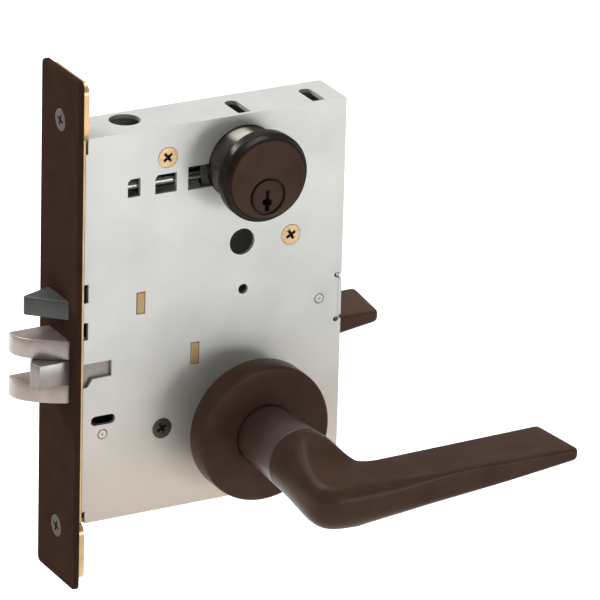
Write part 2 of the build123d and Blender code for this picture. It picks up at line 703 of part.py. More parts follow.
def spring_cage(side):
    """Plate against the door, with the boss that the neck turns in."""
    back = at_side(side, DOOR_Y)
    plate_y = at_side(side, DOOR_Y + CAGE_T)
    boss_y = at_side(side, DOOR_Y + ROSE_T - ROSE_WALL - 0.4)
    cage = rod_y(BACKSET, LEVER_Z, ROSE_R - ROSE_WALL - 0.1, back, plate_y)
    cage += rod_y(BACKSET, LEVER_Z, CAGE_BOSS_R, plate_y, boss_y)
    cage -= rod_y(BACKSET, LEVER_Z, NECK_R + RUN_GAP, at_side(side, 20), at_side(side, 60))
    hole_r = TRIM_POST_R if side < 0 else TRIM_BOLT_R
    for x, z in trim_bolt_places():
        cage -= rod_y(x, z, hole_r, at_side(side, 20), at_side(side, 60))
    return cage


def return_spring(side):
    """Torsion spring round the cage's boss, as a plain ring."""
    y0 = at_side(side, DOOR_Y + CAGE_T + 0.1)
    y1 = at_side(side, DOOR_Y + ROSE_T - ROSE_WALL - 0.5)
    ring = rod_y(BACKSET, LEVER_Z, CAGE_BOSS_R + 0.3 + RETURN_SPRING_WIRE, y0, y1)
    return ring - rod_y(BACKSET, LEVER_Z, CAGE_BOSS_R + 0.3, y0 * 0.9, y1 * 1.1)


def trim_posts():
    """Threaded posts on the outside cage, which the bolts screw into."""
    posts = []
    for x, z in trim_bolt_places():
        post = rod_y(x, z, TRIM_POST_R, -DOOR_Y - CAGE_T, -1.5)
        posts.append(post - rod_y(x, z, TRIM_BOLT_R, -16.0, 0))
    return Compound(children=posts)


def trim_bolts():
    bolts = []
    for x, z in trim_bolt_places():
        bolt = rod_y(x, z, TRIM_BOLT_R, -14.0, DOOR_Y + CAGE_T)
        bolt += rod_y(x, z, TRIM_BOLT_HEAD_R, DOOR_Y + CAGE_T, DOOR_Y + CAGE_T + 2.2)
        slot = block(x - 5, x + 5, DOOR_Y + CAGE_T + 1.2, DOOR_Y + CAGE_T + 3, z - 0.6, z + 0.6)
        bolts.append(bolt - slot)
    return Compound(children=bolts)


def neck_sleeve(side):
    """Flared tube from the spring cage to the lever."""
    start, rose_y = at_side(side, DOOR_Y + 0.6), at_side(side, DOOR_Y + ROSE_T + 1)
    end = at_side(side, seam_y(side) - 0.15)
    neck = rod_y(BACKSET, LEVER_Z, NECK_R, start, rose_y)
    neck += taper_y(BACKSET, LEVER_Z, NECK_R, NECK_END_R, rose_y, end)
    return neck - rod_y(BACKSET, LEVER_Z, NECK_BORE_R, at_side(side, 20), at_side(side, 80))


def lever(side):
    """Neck stub and flat-topped, tapering arm."""
    seam = at_side(side, seam_y(side))
    arm_start = DOOR_Y + ARM_IN[side]
    arm_in = at_side(side, arm_start)
    root_out = at_side(side, arm_start + ARM_W_ROOT)
    tip_out = at_side(side, arm_start + ARM_W_TIP)
    root_x = BACKSET - NECK_END_R + 1.2
    low_root = ARM_TOP_Z - ARM_T_ROOT
    blank = slab_y(
        [(root_x, ARM_TOP_Z), (ARM_TIP_X, ARM_TOP_Z), (ARM_TIP_X, ARM_TOP_Z - ARM_T_TIP),
         (root_x, low_root)], arm_in, tip_out,
    )
    plan = slab_z(
        lines_xy((root_x, arm_in), (ARM_TIP_X - ARM_TIP_SLANT, arm_in), (ARM_TIP_X, tip_out),
                 (root_x, root_out)),
        low_root - 1, ARM_TOP_Z + 1,
    )
    arm = blank & plan
    corner = arm.edges().filter_by(Axis.Z).sort_by(Axis.X)[:2]
    outer_corner = corner.sort_by(Axis.Y)[0 if side < 0 else -1]
    arm = fillet(outer_corner, 8.0)
    neck = rod_y(BACKSET, LEVER_Z, NECK_END_R, seam, at_side(side, arm_start + 6.0))
    elbow = rod_y(BACKSET, LEVER_Z, NECK_END_R, at_side(side, arm_start + 6.0),
                  at_side(side, arm_start + ARM_W_ROOT - 1.0))
    elbow &= block(0, 200, -200, 200, low_root, ARM_TOP_Z)
    body = arm + neck + elbow
    bore = SPINDLE + 2 * SPINDLE_BORE_GAP
    return body - square_y(BACKSET, LEVER_Z, bore, seam - side, at_side(side, seam_y(side) + 11))


def set_screw(side):
    """Small screw under the neck that grips the spindle."""
    y = at_side(side, seam_y(side) - SET_SCREW_BACK)
    return rod_z(BACKSET, y, SET_SCREW_R, LEVER_Z - NECK_END_R + 0.8, LEVER_Z - SPINDLE / 2 - 0.02)


def neck_with_screw_hole(side):
    y = at_side(side, seam_y(side) - SET_SCREW_BACK)
    return neck_sleeve(side) - rod_z(BACKSET, y, SET_SCREW_R, LEVER_Z - NECK_END_R - 1, LEVER_Z)


# ---- cylinder ----
CYL_FACE_Y = -DOOR_Y - CYL_FACE_OUT
CLAMP_Y = -8.8
CLAMP_R = 2.2
CLAMP_NUT_X = (28.0, 32.0)


def pin_stations():
    return [FIRST_PIN_Y + i * PIN_PITCH for i in range(PIN_COUNT)]


def cylinder_shell():
    """Threaded body with a thin head, bored for the plug and its pins."""
    shell = rod_y(BACKSET, CYL_Z, CYL_R, CYL_FACE_Y + CYL_HEAD_T, CYL_BACK_Y)
    head = rod_y(BACKSET, CYL_Z, CYL_HEAD_R, CYL_FACE_Y, CYL_FACE_Y + CYL_HEAD_T)
    shell += fillet(head.edges().sort_by(Axis.Y)[0], 0.7)
    shell -= rod_y(BACKSET, PLUG_Z, PLUG_R + RUN_GAP, CYL_FACE_Y - 1, CYL_BACK_Y + 1)
    for y in pin_stations():
        shell -= rod_z(BACKSET, y, PIN_R, PLUG_Z, CYL_Z + CYL_R + 1)
    return shell


def keyway():
    """Narrow upright slot that widens at its foot."""
    width, foot = 1.3, 2.6
    low, high = PLUG_Z - 4.9, PLUG_Z + 2.6
    y0, y1 = CYL_FACE_Y - 1, CYL_BACK_Y - 2
    slot = block(BACKSET - width / 2, BACKSET + width / 2, y0, y1, low, high)
    slot += block(BACKSET - foot, BACKSET + foot * 0.55, y0, y1, PLUG_Z - 2.9, PLUG_Z - 0.9)
    return slot + block(BACKSET - foot * 0.5, BACKSET + foot * 0.3, y0, y1, low - 0.8, PLUG_Z - 2.9)


def cylinder_plug():
    plug = rod_y(BACKSET, PLUG_Z, PLUG_R, CYL_FACE_Y + 0.3, CYL_BACK_Y + 0.2)
    plug -= keyway()
    for y in pin_stations():
        plug -= rod_z(BACKSET, y, PIN_R, PLUG_Z - 1.5, PLUG_Z + PLUG_R + 1)
    for x in cam_screw_xs():
        plug -= rod_y(x, PLUG_Z, CAM_SCREW_R, CYL_BACK_Y - 3, CYL_BACK_Y + 1)
    return plug


CAM_SCREW_R = 0.9
CAM_SCREW_OUT = 4.3


def cam_screw_xs():
    return (BACKSET - CAM_SCREW_OUT, BACKSET + CAM_SCREW_OUT)


def key_pins():
    top = PLUG_Z + PLUG_R - 0.25
    return Compound(children=[
        rod_z(BACKSET, y, PIN_R - 0.04, PLUG_Z - 1.2, top) for y in pin_stations()
    ])


DRIVER_L = 5.0
CHAMBER_PLUG_L = 1.6


def driver_pins():
    low = PLUG_Z + PLUG_R + RUN_GAP + 0.02
    return Compound(children=[
        rod_z(BACKSET, y, PIN_R - 0.04, low, low + DRIVER_L) for y in pin_stations()
    ])


def chamber_top(y):
    return CYL_Z + CYL_R - 0.4


def pin_springs():
    low = PLUG_Z + PLUG_R + RUN_GAP + 0.02 + DRIVER_L + 0.05
    springs = []
    for y in pin_stations():
        high = chamber_top(y) - CHAMBER_PLUG_L - 0.05
        tube = rod_z(BACKSET, y, PIN_R - 0.1, low, high)
        springs.append(tube - rod_z(BACKSET, y, PIN_R - 0.45, low - 1, high + 1))
    return Compound(children=springs)


def pin_chamber_plugs():
    return Compound(children=[
        rod_z(BACKSET, y, PIN_R, chamber_top(y) - CHAMBER_PLUG_L, chamber_top(y))
        for y in pin_stations()
    ])


def cylinder_collar():
    """Ring between the door's face and the cylinder's head, tapered in past its rim."""
    rim_y = -DOOR_Y - COLLAR_RIM_L
    collar = rod_y(BACKSET, CYL_Z, COLLAR_R, -DOOR_Y, rim_y)
    collar += taper_y(BACKSET, CYL_Z, COLLAR_R - COLLAR_STEP, COLLAR_FRONT_R, rim_y,
                      CYL_FACE_Y + COLLAR_SET_BACK)
    collar -= rod_y(BACKSET, CYL_Z, CYL_R + 0.05, -DOOR_Y + 1, CYL_FACE_Y - 1)
    return collar - rod_y(
        BACKSET, CYL_Z, CYL_HEAD_R + 0.05, CYL_FACE_Y + CYL_HEAD_T, CYL_FACE_Y - 1
    )


def cylinder_ring():
    """Ring behind the cover, threaded for the cylinder."""
    ring = rod_y(BACKSET, CYL_Z, RING_R, COVER_IN_Y, RING_BACK_Y)
    ring -= rod_y(BACKSET, CYL_Z, CYL_R, COVER_IN_Y - 1, RING_BACK_Y + 1)
    return ring - rod_x(CLAMP_Y, CLAMP_Z, CLAMP_R + RUN_GAP, BACKSET - RING_R - 2, BACKSET)


def cylinder_clamp_screw():
    """Long screw from the front edge whose point grips the cylinder."""
    tip = BACKSET - CYL_R - 0.1
    screw = rod_x(CLAMP_Y, CLAMP_Z, CLAMP_R, FRONT_T + 0.2, tip)
    return screw - block(
        FRONT_T, FRONT_T + 1.4, CLAMP_Y - 3, CLAMP_Y + 3, CLAMP_Z - 0.45, CLAMP_Z + 0.45
    )


def clamp_nut():
    """Tapped block on the back wall that the clamp screw runs in."""
    x0, x1 = CLAMP_NUT_X
    nut = block(x0, x1, COVER_IN_Y, BACK_IN_Y, CLAMP_Z - 4.3, CLAMP_Z + 4.2)
    return nut - rod_x(CLAMP_Y, CLAMP_Z, CLAMP_R, x0 - 1, x1 + 1)


def cylinder_cam():
    """Cam on the back of the plug, its lobe down."""
    y0, y1 = CYL_BACK_Y + 0.2, CYL_BACK_Y + 0.2 + CAM_T
    cam = rod_y(BACKSET, PLUG_Z, CAM_R, y0, y1)
    half = 2.6
    low = PLUG_Z - CAM_LOBE_R + half
    cam += block(BACKSET - half, BACKSET + half, y0, y1, low, PLUG_Z)
    cam += rod_y(BACKSET, low, half, y0, y1)
    for x in cam_screw_xs():
        cam -= rod_y(x, PLUG_Z, CAM_SCREW_R, y0 - 1, y1 + 1)
    return cam


def cam_screws():
    y1 = CYL_BACK_Y + 0.2 + CAM_T
    screws = []
    for x in cam_screw_xs():
        screw = rod_y(x, PLUG_Z, CAM_SCREW_R, CYL_BACK_Y - 3, y1)
        screw += rod_y(x, PLUG_Z, CAM_SCREW_R + 0.7, y1, y1 + 0.9)
        screws.append(screw)
    return Compound(children=screws)


CATCH_PIVOT = (95.0, 36.0)
CATCH_Y = (-6.0, -3.4)
CATCH_PIN_R = 1.8


CATCH_LEG_X = (96.2, 100.2)


def locking_catch():
    """Lever from the cam's reach down to the outside hub's side."""
    px, pz = CATCH_PIVOT
    y0, y1 = CATCH_Y
    leg_x0, leg_x1 = CATCH_LEG_X
    foot_z = CROSSBAR_Z[0] - 3.0
    catch = rod_y(px, pz, 4.0, y0, y1)
    catch += slab_y([(px - 3.8, pz - 1.0), (px - 12.2, pz + 15.0), (px - 9.4, pz + 17.5),
                     (px + 2.0, pz + 3.4)], y0, y1)
    catch += slab_y([(px, pz), (px + 3.6, pz + 1.0), (leg_x1, pz - 6.0), (leg_x1, foot_z - 4.0),
                     (leg_x0, foot_z - 4.0), (leg_x0, pz - 6.0)], y0, y1)
    catch += block(leg_x0 - 10.0, leg_x1, y0, y1, foot_z - 4.0, foot_z)
    return catch - rod_y(px, pz, CATCH_PIN_R + RUN_GAP, y0 - 1, y1 + 1)


def catch_pivot_pin():
    px, pz = CATCH_PIVOT
    return rod_y(px, pz, CATCH_PIN_R, COVER_IN_Y, BACK_IN_Y)


# ---- one node for each piece or group of like pieces ----
NODES = {
    "armour_front": armour_front,
    "armour_front_screws": armour_front_screws,
    "front_flange": front_flange,
    "case_shell": case_shell,
    "case_cover": case_cover,
    "cover_screws": cover_screws,
    "cover_lock_screw": cover_lock_screw,
    "cover_posts": cover_posts,
    "guide_stakes": guide_stakes,
    "case_rivets": case_rivets,
    "latch_guide": latch_guide,
    "latch_head": latch_head,
    "latch_tail": latch_tail,
    "latch_tail_pin": latch_tail_pin,
    "tongue_pin": tongue_pin,
    "antifriction_tongue": antifriction_tongue,
    "latch_spring": latch_spring,
    "latch_spring_anchor": latch_spring_anchor,
    "auxiliary_latch": auxiliary_latch,
    "auxiliary_latch_tail": auxiliary_latch_tail,
    "aux_latch_spring": aux_latch_spring,
    "aux_spring_anchor": aux_spring_anchor,
    "deadlock_lever": deadlock_lever,
    "deadlock_pivot_pin": deadlock_pivot_pin,
    "hub_washer": hub_washer,
    "trim_posts": trim_posts,
    "trim_bolts": trim_bolts,
    "cylinder_shell": cylinder_shell,
    "cylinder_collar": cylinder_collar,
    "cylinder_ring": cylinder_ring,
    "cylinder_clamp_screw": cylinder_clamp_screw,
    "clamp_nut": clamp_nut,
    "cylinder_plug": cylinder_plug,
    "key_pins": key_pins,
    "driver_pins": driver_pins,
    "pin_springs": pin_springs,
    "pin_chamber_plugs": pin_chamber_plugs,
    "cylinder_cam": cylinder_cam,
    "cam_screws": cam_screws,
    "locking_catch": locking_catch,
    "catch_pivot_pin": catch_pivot_pin,
}
SIDED_NODES = {
    "hub": hub,
    "spindle": spindle,
    "rose": rose,
    "spring_cage": spring_cage,
    "return_spring": return_spring,
    "neck_sleeve": neck_with_screw_hole,
    "lever": lever,
    "set_screw": set_screw,
}

os.makedirs("parts", exist_ok=True)
for name, make in NODES.items():
    export_step(make(), f"parts/{name}.step")
for side_name, side in (("outside", OUTSIDE), ("inside", INSIDE)):
    for name, make in SIDED_NODES.items():
        export_step(make(side), f"parts/{side_name}_{name}.step")
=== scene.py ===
# %% [markdown]
# # A mortise lock with lever handles
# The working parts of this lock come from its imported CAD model, which loads here as
# a frame that never moves. This lesson gives each piece the shape of its surface and
# the finish of its metal, then lights it on a pale floor.

# %% Load the frame
import json
import math

import bpy
import numpy as np
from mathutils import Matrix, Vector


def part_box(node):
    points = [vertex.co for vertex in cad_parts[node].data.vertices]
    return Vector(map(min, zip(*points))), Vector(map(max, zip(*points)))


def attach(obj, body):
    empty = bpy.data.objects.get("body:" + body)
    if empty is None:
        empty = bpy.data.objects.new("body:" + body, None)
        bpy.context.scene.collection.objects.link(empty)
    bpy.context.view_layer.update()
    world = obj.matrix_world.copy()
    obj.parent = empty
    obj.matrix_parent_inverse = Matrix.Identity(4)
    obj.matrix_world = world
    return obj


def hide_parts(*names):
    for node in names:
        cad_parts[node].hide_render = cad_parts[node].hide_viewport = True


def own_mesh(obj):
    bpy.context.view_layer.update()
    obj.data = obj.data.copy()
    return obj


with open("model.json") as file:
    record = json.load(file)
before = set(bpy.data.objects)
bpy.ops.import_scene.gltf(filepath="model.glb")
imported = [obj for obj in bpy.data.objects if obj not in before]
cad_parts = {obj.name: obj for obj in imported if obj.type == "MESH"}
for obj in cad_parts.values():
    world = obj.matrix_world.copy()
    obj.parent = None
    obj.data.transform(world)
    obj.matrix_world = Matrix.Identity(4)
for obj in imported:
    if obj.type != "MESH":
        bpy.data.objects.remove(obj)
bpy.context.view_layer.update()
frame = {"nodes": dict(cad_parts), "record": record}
MM = 0.001
print("pieces in the frame:", len(frame["nodes"]))

# %% [markdown]
# ## Where things are
# Every place is read from the frame, in millimetres, so that a new surface sits
# exactly where the working part is. The outside of the door is towards -Y.

# %% Places read from the frame


def span(node):
    """Lowest and highest corner of a node, in millimetres."""
    low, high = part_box(node)
    return np.array(low) / MM, np.array(high) / MM


rose_low, rose_high = span("outside_rose")
AXIS_X = float(rose_low[0] + rose_high[0]) / 2
AXIS_Z = float(rose_low[2] + rose_high[2]) / 2
ROSE_R = float(rose_high[0] - rose_low[0]) / 2
DOOR_FACE = -float(rose_high[1])
ROSE_FRONT = -float(rose_low[1])
shell_low, shell_high = span("cylinder_shell")
CYL_X = float(shell_low[0] + shell_high[0]) / 2
CYL_Z = float(shell_low[2] + shell_high[2]) / 2
CYL_HEAD_R = float(shell_high[0] - shell_low[0]) / 2
CYL_FACE = -float(shell_low[1])
plug_low, plug_high = span("cylinder_plug")
PLUG_Z = float(plug_low[2] + plug_high[2]) / 2
PLUG_R = float(plug_high[0] - plug_low[0]) / 2
COVER_FACE = -float(span("case_cover")[0][1])
print("lever axis", round(AXIS_X, 2), round(AXIS_Z, 2), "rose radius", round(ROSE_R, 2))
print("cylinder axis", round(CYL_X, 2), round(CYL_Z, 2), "plug", round(PLUG_Z, 2))

# %% [markdown]
# ## Turning arrays into meshes
# A surface worked out with numpy is a grid of points. These helpers join the grid
# into faces, close its ends, and turn the whole thing right side out by the sign of
# the volume that it encloses.

# %% Mesh helpers


def grid_quads(rows, cols, loop_rows=False):
    """Corner numbers of each quad of a grid whose columns run round and close."""
    r = np.arange(rows if loop_rows else rows - 1)
    c = np.arange(cols)
    r, c = np.meshgrid(r, c, indexing="ij")
    r2 = (r + 1) % rows
    c2 = (c + 1) % cols
    corners = [r * cols + c, r2 * cols + c, r2 * cols + c2, r * cols + c2]
    return np.stack(corners, -1).reshape(-1, 4)


def enclosed_volume(points, faces):
    """Sum over triangles of the dot product of one corner with the cross product of
    the other two, over six. It is positive when the faces point outwards."""
    total = 0.0
    for face in faces:
        p = points[list(face)]
        fan = np.cross(p[1:-1], p[2:])
        total += float((fan @ p[0]).sum()) / 6
    return total


def make_object(name, points, faces, smooth_angle=35.0):
    """An object at the origin whose mesh holds the points, given in millimetres."""
    points = np.asarray(points, float).reshape(-1, 3)
    centred = points - points.mean(0)
    if enclosed_volume(centred, faces) < 0:
        faces = [tuple(reversed(face)) for face in faces]
    mesh = bpy.data.meshes.new(name)
    mesh.from_pydata((points * MM).tolist(), [], [tuple(map(int, f)) for f in faces])
    mesh.validate()
    mesh.shade_smooth()
    mesh.set_sharp_from_angle(angle=math.radians(smooth_angle))
    piece = bpy.data.objects.new(name, mesh)
    bpy.context.collection.objects.link(piece)
    return piece


def skin(name, grid, loop_rows=False, smooth_angle=35.0):
    """A closed skin over a grid of points: each row is a ring, and the first and last
    rings are closed by a fan to their middle unless the rows themselves loop."""
    rows, cols = grid.shape[:2]
    points = grid.reshape(-1, 3)
    faces = [tuple(f) for f in grid_quads(rows, cols, loop_rows)]
    if not loop_rows:
        extra = [grid[0].mean(0), grid[-1].mean(0)]
        points = np.vstack([points, extra])
        first, last = rows * cols, rows * cols + 1
        c = np.arange(cols)
        c2 = (c + 1) % cols
        faces += [(first, int(b), int(a)) for a, b in zip(c, c2)]
        base = (rows - 1) * cols
        faces += [(last, base + int(a), base + int(b)) for a, b in zip(c, c2)]
    piece = make_object(name, points, faces, smooth_angle)
    print(name, "has", len(piece.data.polygons), "faces")
    return piece


def soften(corners, radii, steps=5):
    """An outline with each corner replaced by a parabola that starts and ends at the
    given distance from the corner: (1-s)^2 before + 2 s (1-s) corner + s^2 after."""
    corners = np.asarray(corners, float)
    radii = np.broadcast_to(np.asarray(radii, float), len(corners))
    before = np.roll(corners, 1, 0) - corners
    after = np.roll(corners, -1, 0) - corners
    before_length = np.linalg.norm(before, axis=1, keepdims=True)
    after_length = np.linalg.norm(after, axis=1, keepdims=True)
    reach_before = np.minimum(radii[:, None], before_length * 0.49)
    reach_after = np.minimum(radii[:, None], after_length * 0.49)
    start = corners + before / before_length * reach_before
    end = corners + after / after_length * reach_after
    s = np.linspace(0, 1, steps)[None, :, None]
    bent = (1 - s) ** 2 * start[:, None] + 2 * s * (1 - s) * corners[:, None]
    bent = bent + s**2 * end[:, None]
    return bent.reshape(-1, 2)


def turned(name, outline, x, z, turns=128, smooth_angle=35.0):
    """A piece turned on a lathe about an axis along Y. The outline is a closed loop of
    (radius, y), and each point goes to x + r cos a, y, z + r sin a."""
    a = np.linspace(0, 2 * math.pi, turns, endpoint=False)
    r = outline[:, 0][:, None]
    y = np.broadcast_to(outline[:, 1][:, None], (len(outline), turns))
    grid = np.stack([x + r * np.cos(a), y, z + r * np.sin(a)], -1)
    return skin(name, grid, loop_rows=True, smooth_angle=smooth_angle)


print("helpers ready")

# %% [markdown]
# ## The finishes
# Each metal is one shader whose base colour, roughness and bump come from noise read
# in object coordinates, so it stays fixed to the metal. Large soft clouds give the
# uneven tone of plating, and fine grain gives its satin.

# %% A plated metal


def linear(r, g, b):
    """Screen colour from 0 to 255 as linear light: ((c + 0.055) / 1.055) to the 2.4."""
    c = np.array([r, g, b]) / 255
    low = c / 12.92
    high = ((c + 0.055) / 1.055) ** 2.4
    return [float(v) for v in np.where(c <= 0.04045, low, high)] + [1.0]


def add_noise(nodes, links, place, scale, detail, stretch=(1, 1, 1)):
    """A noise from 0 to 1 read at a place whose axes are stretched first."""
    mapping = nodes.new("ShaderNodeMapping")
    mapping.inputs["Scale"].default_value = stretch
    noise = nodes.new("ShaderNodeTexNoise")
    noise.inputs["Scale"].default_value = scale
    noise.inputs["Detail"].default_value = detail
    links.new(place, mapping.inputs["Vector"])
    links.new(mapping.outputs["Vector"], noise.inputs["Vector"])
    return noise.outputs["Fac"]


def add_range(nodes, links, value, low, high, from_low=0.3, from_high=0.7):
    """low + (high - low)(value - from low) / (from high - from low), held within."""
    change = nodes.new("ShaderNodeMapRange")
    change.inputs["From Min"].default_value = from_low
    change.inputs["From Max"].default_value = from_high
    change.inputs["To Min"].default_value = low
    change.inputs["To Max"].default_value = high
    links.new(value, change.inputs["Value"])
    return change.outputs["Result"]


def plated(name, dark, light, rough, metallic, clouds=90.0, grain=2600.0, bump=0.02,
           brushed=(1, 1, 1), shine=0.5, foot=None, recess_shade=None):
    """Metal with a cloudy tone between two colours, roughness between two values and
    a fine grain in its surface. A foot colour warms the tone towards the bottom, and
    painted shade (axis, start, end) darkens it between two places along one axis,
    standing in for the shade that falls inside a recess."""
    material = bpy.data.materials.new(name)
    material.use_nodes = True
    nodes, links = material.node_tree.nodes, material.node_tree.links
    shader = nodes["Principled BSDF"]
    shader.inputs["Metallic"].default_value = metallic
    shader.inputs["Specular IOR Level"].default_value = shine
    place = nodes.new("ShaderNodeTexCoord").outputs["Object"]
    cloud = add_noise(nodes, links, place, clouds, 3.0)
    fine = add_noise(nodes, links, place, grain, 2.0, brushed)
    tone = nodes.new("ShaderNodeMix")
    tone.data_type = "RGBA"
    tone.inputs["A"].default_value = linear(*dark)
    tone.inputs["B"].default_value = linear(*light)
    links.new(add_range(nodes, links, cloud, 0.0, 1.0), tone.inputs["Factor"])
    colour = tone.outputs["Result"]
    fades = []
    if foot:
        fades.append(("Z", -0.005, -0.078, foot))
    if recess_shade:
        # painted shade: a near-black brown laid into a recess, where shade falls
        fades.append((*recess_shade, (22, 17, 12)))
    for axis, start, end, target in fades:
        split = nodes.new("ShaderNodeSeparateXYZ")
        links.new(place, split.inputs["Vector"])
        amount = add_range(nodes, links, split.outputs[axis], 0.0, 1.0, start, end)
        fade = nodes.new("ShaderNodeMix")
        fade.data_type = "RGBA"
        fade.inputs["B"].default_value = linear(*target)
        links.new(amount, fade.inputs["Factor"])
        links.new(colour, fade.inputs["A"])
        colour = fade.outputs["Result"]
    links.new(colour, shader.inputs["Base Color"])
    links.new(add_range(nodes, links, fine, *rough), shader.inputs["Roughness"])
    relief = nodes.new("ShaderNodeBump")
    relief.inputs["Strength"].default_value = bump
    relief.inputs["Distance"].default_value = 0.0002
    links.new(fine, relief.inputs["Height"])
    links.new(relief.outputs["Normal"], shader.inputs["Normal"])
    return material


FINISH = {
    "bronze": plated("oil_rubbed_bronze", (56, 40, 31), (66, 48, 38), (0.28, 0.36), 0.0,
                     shine=0.07),
    "zinc": plated("satin_zinc", (186, 187, 184), (198, 198, 194), (0.36, 0.48), 0.45,
                   clouds=45.0, foot=(178, 166, 152)),
    "gold": plated("yellow_zinc", (182, 150, 108), (212, 178, 132), (0.26, 0.36), 0.6),
    "nickel": plated("satin_nickel", (142, 132, 125), (170, 160, 153), (0.30, 0.42), 0.75,
                     brushed=(0.15, 0.15, 1)),
    "darksteel": plated("dark_sintered_steel", (62, 64, 62), (78, 79, 77), (0.42, 0.52), 0.4),
    "steel": plated("bright_steel", (108, 107, 104), (134, 133, 130), (0.22, 0.32), 1.0),
    "spring": plated("spring_wire", (120, 120, 122), (142, 142, 144), (0.25, 0.35), 0.9),
    "brass": plated("stake_brass", (158, 128, 90), (180, 150, 108), (0.32, 0.45), 0.6),
    "cast": plated("zinc_casting", (120, 118, 112), (140, 138, 130), (0.45, 0.6), 0.6),
}
FACE_Y = -COVER_FACE * MM
ARMOUR = plated("matt_bronze", (46, 33, 27), (52, 38, 31), (0.5, 0.6), 0.0, shine=0.0)
TRIM = plated("brushed_bronze", (52, 37, 29), (62, 45, 36), (0.3, 0.38), 0.0, shine=1.0,
              brushed=(1, 0.12, 1))
# The collar's bronze is painted near black: painted shade for its sides, which face away from the
# lights and reflect dark surroundings.
SHADED_COLLAR_BRONZE = plated("painted_shade_bronze", (22, 15, 11), (30, 21, 16), (0.3, 0.4), 0.0, shine=0.12)
# The barrel's steel is painted darker than bright steel: painted shade standing in for the dark
# surroundings that it reflects.
SHADED_BARREL_STEEL = plated("threaded_barrel", (70, 67, 63), (96, 93, 88), (0.2, 0.3), 1.0)
PLUG_BRONZE = plated("plug_bronze", (40, 28, 22), (58, 42, 34), (0.3, 0.4), 0.0, shine=0.1,
                     brushed=(1, 1, 0.08))
GUIDE_STEEL = plated("guide_steel", (118, 113, 108), (146, 140, 134), (0.3, 0.42), 0.7,
                     brushed=(1, 1, 0.1))
# The screws' recesses get painted shade: the colour turns near-black from just inside the face
# down into the recess.
GOLD_SCREW = plated("yellow_zinc_screw", (182, 150, 112), (216, 184, 142), (0.24, 0.34), 0.6,
                    recess_shade=("Y", FACE_Y + 0.0001, FACE_Y + 0.0006))
DARK_SCREW = plated("dark_screw", (66, 60, 54), (92, 84, 76), (0.3, 0.4), 0.5,
                    recess_shade=("Y", FACE_Y + 0.0002, FACE_Y + 0.0008))
ARMOUR_SCREW = plated("bronze_screw", (50, 36, 28), (62, 45, 36), (0.34, 0.44), 0.0,
                      shine=0.1, recess_shade=("X", 0.0002, 0.0009))
slot_of = {s["node"]: s["material_slot"] for s in frame["record"]["subparts"]}
for node, part in frame["nodes"].items():
    part.data.materials.clear()
    part.data.materials.append(FINISH[slot_of[node]])
frame["nodes"]["armour_front"].data.materials[0] = ARMOUR
frame["nodes"]["latch_guide"].data.materials[0] = GUIDE_STEEL
print("finishes:", ", ".join(sorted(FINISH)))


def dress(piece, body, finish, *nodes):
    """Gives a piece its finish, hangs it on its body and hides the CAD nodes that it stands for.
    """
    piece.data.materials.clear()
    piece.data.materials.append(FINISH[finish])
    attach(piece, body)
    if nodes:
        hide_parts(*nodes)
    return piece


# %% [markdown]
# ## The lever
# The lever is one casting: a round neck that turns a square corner into an arm with a
# flat top. Its skin is a row of sections that fan round an upright line in the inner
# corner, so the inner side keeps an even curve while the outer side runs out to the
# corner. Each section is a rectangle whose four corners have their own radii, and it
# starts as a full circle.

# %% The lever's sections
NECK_R = 12.9
SLEEVE_R = 11.6
SLEEVE_BORE_R = 6.3
ROSE_HOLE_R = 11.9
ROSE_WALL = 1.6
SEAM = {-1: -float(span("outside_lever")[1][1]), 1: float(span("inside_lever")[0][1])}
PIVOT_X = AXIS_X + 23.6
PIVOT_OUT = {-1: 68.5, 1: 39.0}
ARM_TOP = AXIS_Z + 3.4
ARM_BOTTOM_ROOT = AXIS_Z - 14.6
ARM_TIP_X = 163.4
TIP_SLANT = 2.9
TIP_THICKNESS = 4.9


def ease(t):
    """Smooth step: 3 t squared - 2 t cubed, from 0 to 1."""
    t = np.clip(t, 0, 1)
    return t * t * (3 - 2 * t)


def blend(a, b, t):
    """a + (b - a) t."""
    return a + (b - a) * t


def quarter(centre_a, centre_z, radius, start, count):
    """Points of a quarter circle: centre + radius (cos t, sin t)."""
    t = np.radians(np.linspace(start, start - 90, count))
    a = centre_a[:, None] + radius[:, None] * np.cos(t)
    z = centre_z[:, None] + radius[:, None] * np.sin(t)
    return np.stack([a, z], -1)


def straight(points_a, points_b, count):
    """Points strictly between two corners' ends."""
    t = np.linspace(0, 1, count + 2)[1:-1][None, :, None]
    return points_a[:, -1:, :] * (1 - t) + points_b[:, :1, :] * t


def rounded_sections(inner, outer, low, high, r_in_top, r_out_top, r_out_low, r_in_low):
    """Rings of points round rectangles whose corners have their own radii. The first
    coordinate runs from the inner to the outer side, and the second is height."""
    half = np.minimum(outer - inner, high - low) / 2
    radii = [np.minimum(r, half) for r in (r_in_top, r_out_top, r_out_low, r_in_low)]
    a, b, c, d = radii
    top_in = quarter(inner + a, high - a, a, 180, 12)
    top_out = quarter(outer - b, high - b, b, 90, 12)
    low_out = quarter(outer - c, low + c, c, 0, 12)
    low_in = quarter(inner + d, low + d, d, -90, 12)
    loop = [top_in, straight(top_in, top_out, 6), top_out, straight(top_out, low_out, 4)]
    loop += [low_out, straight(low_out, low_in, 6), low_in, straight(low_in, top_in, 4)]
    return np.concatenate(loop, 1)


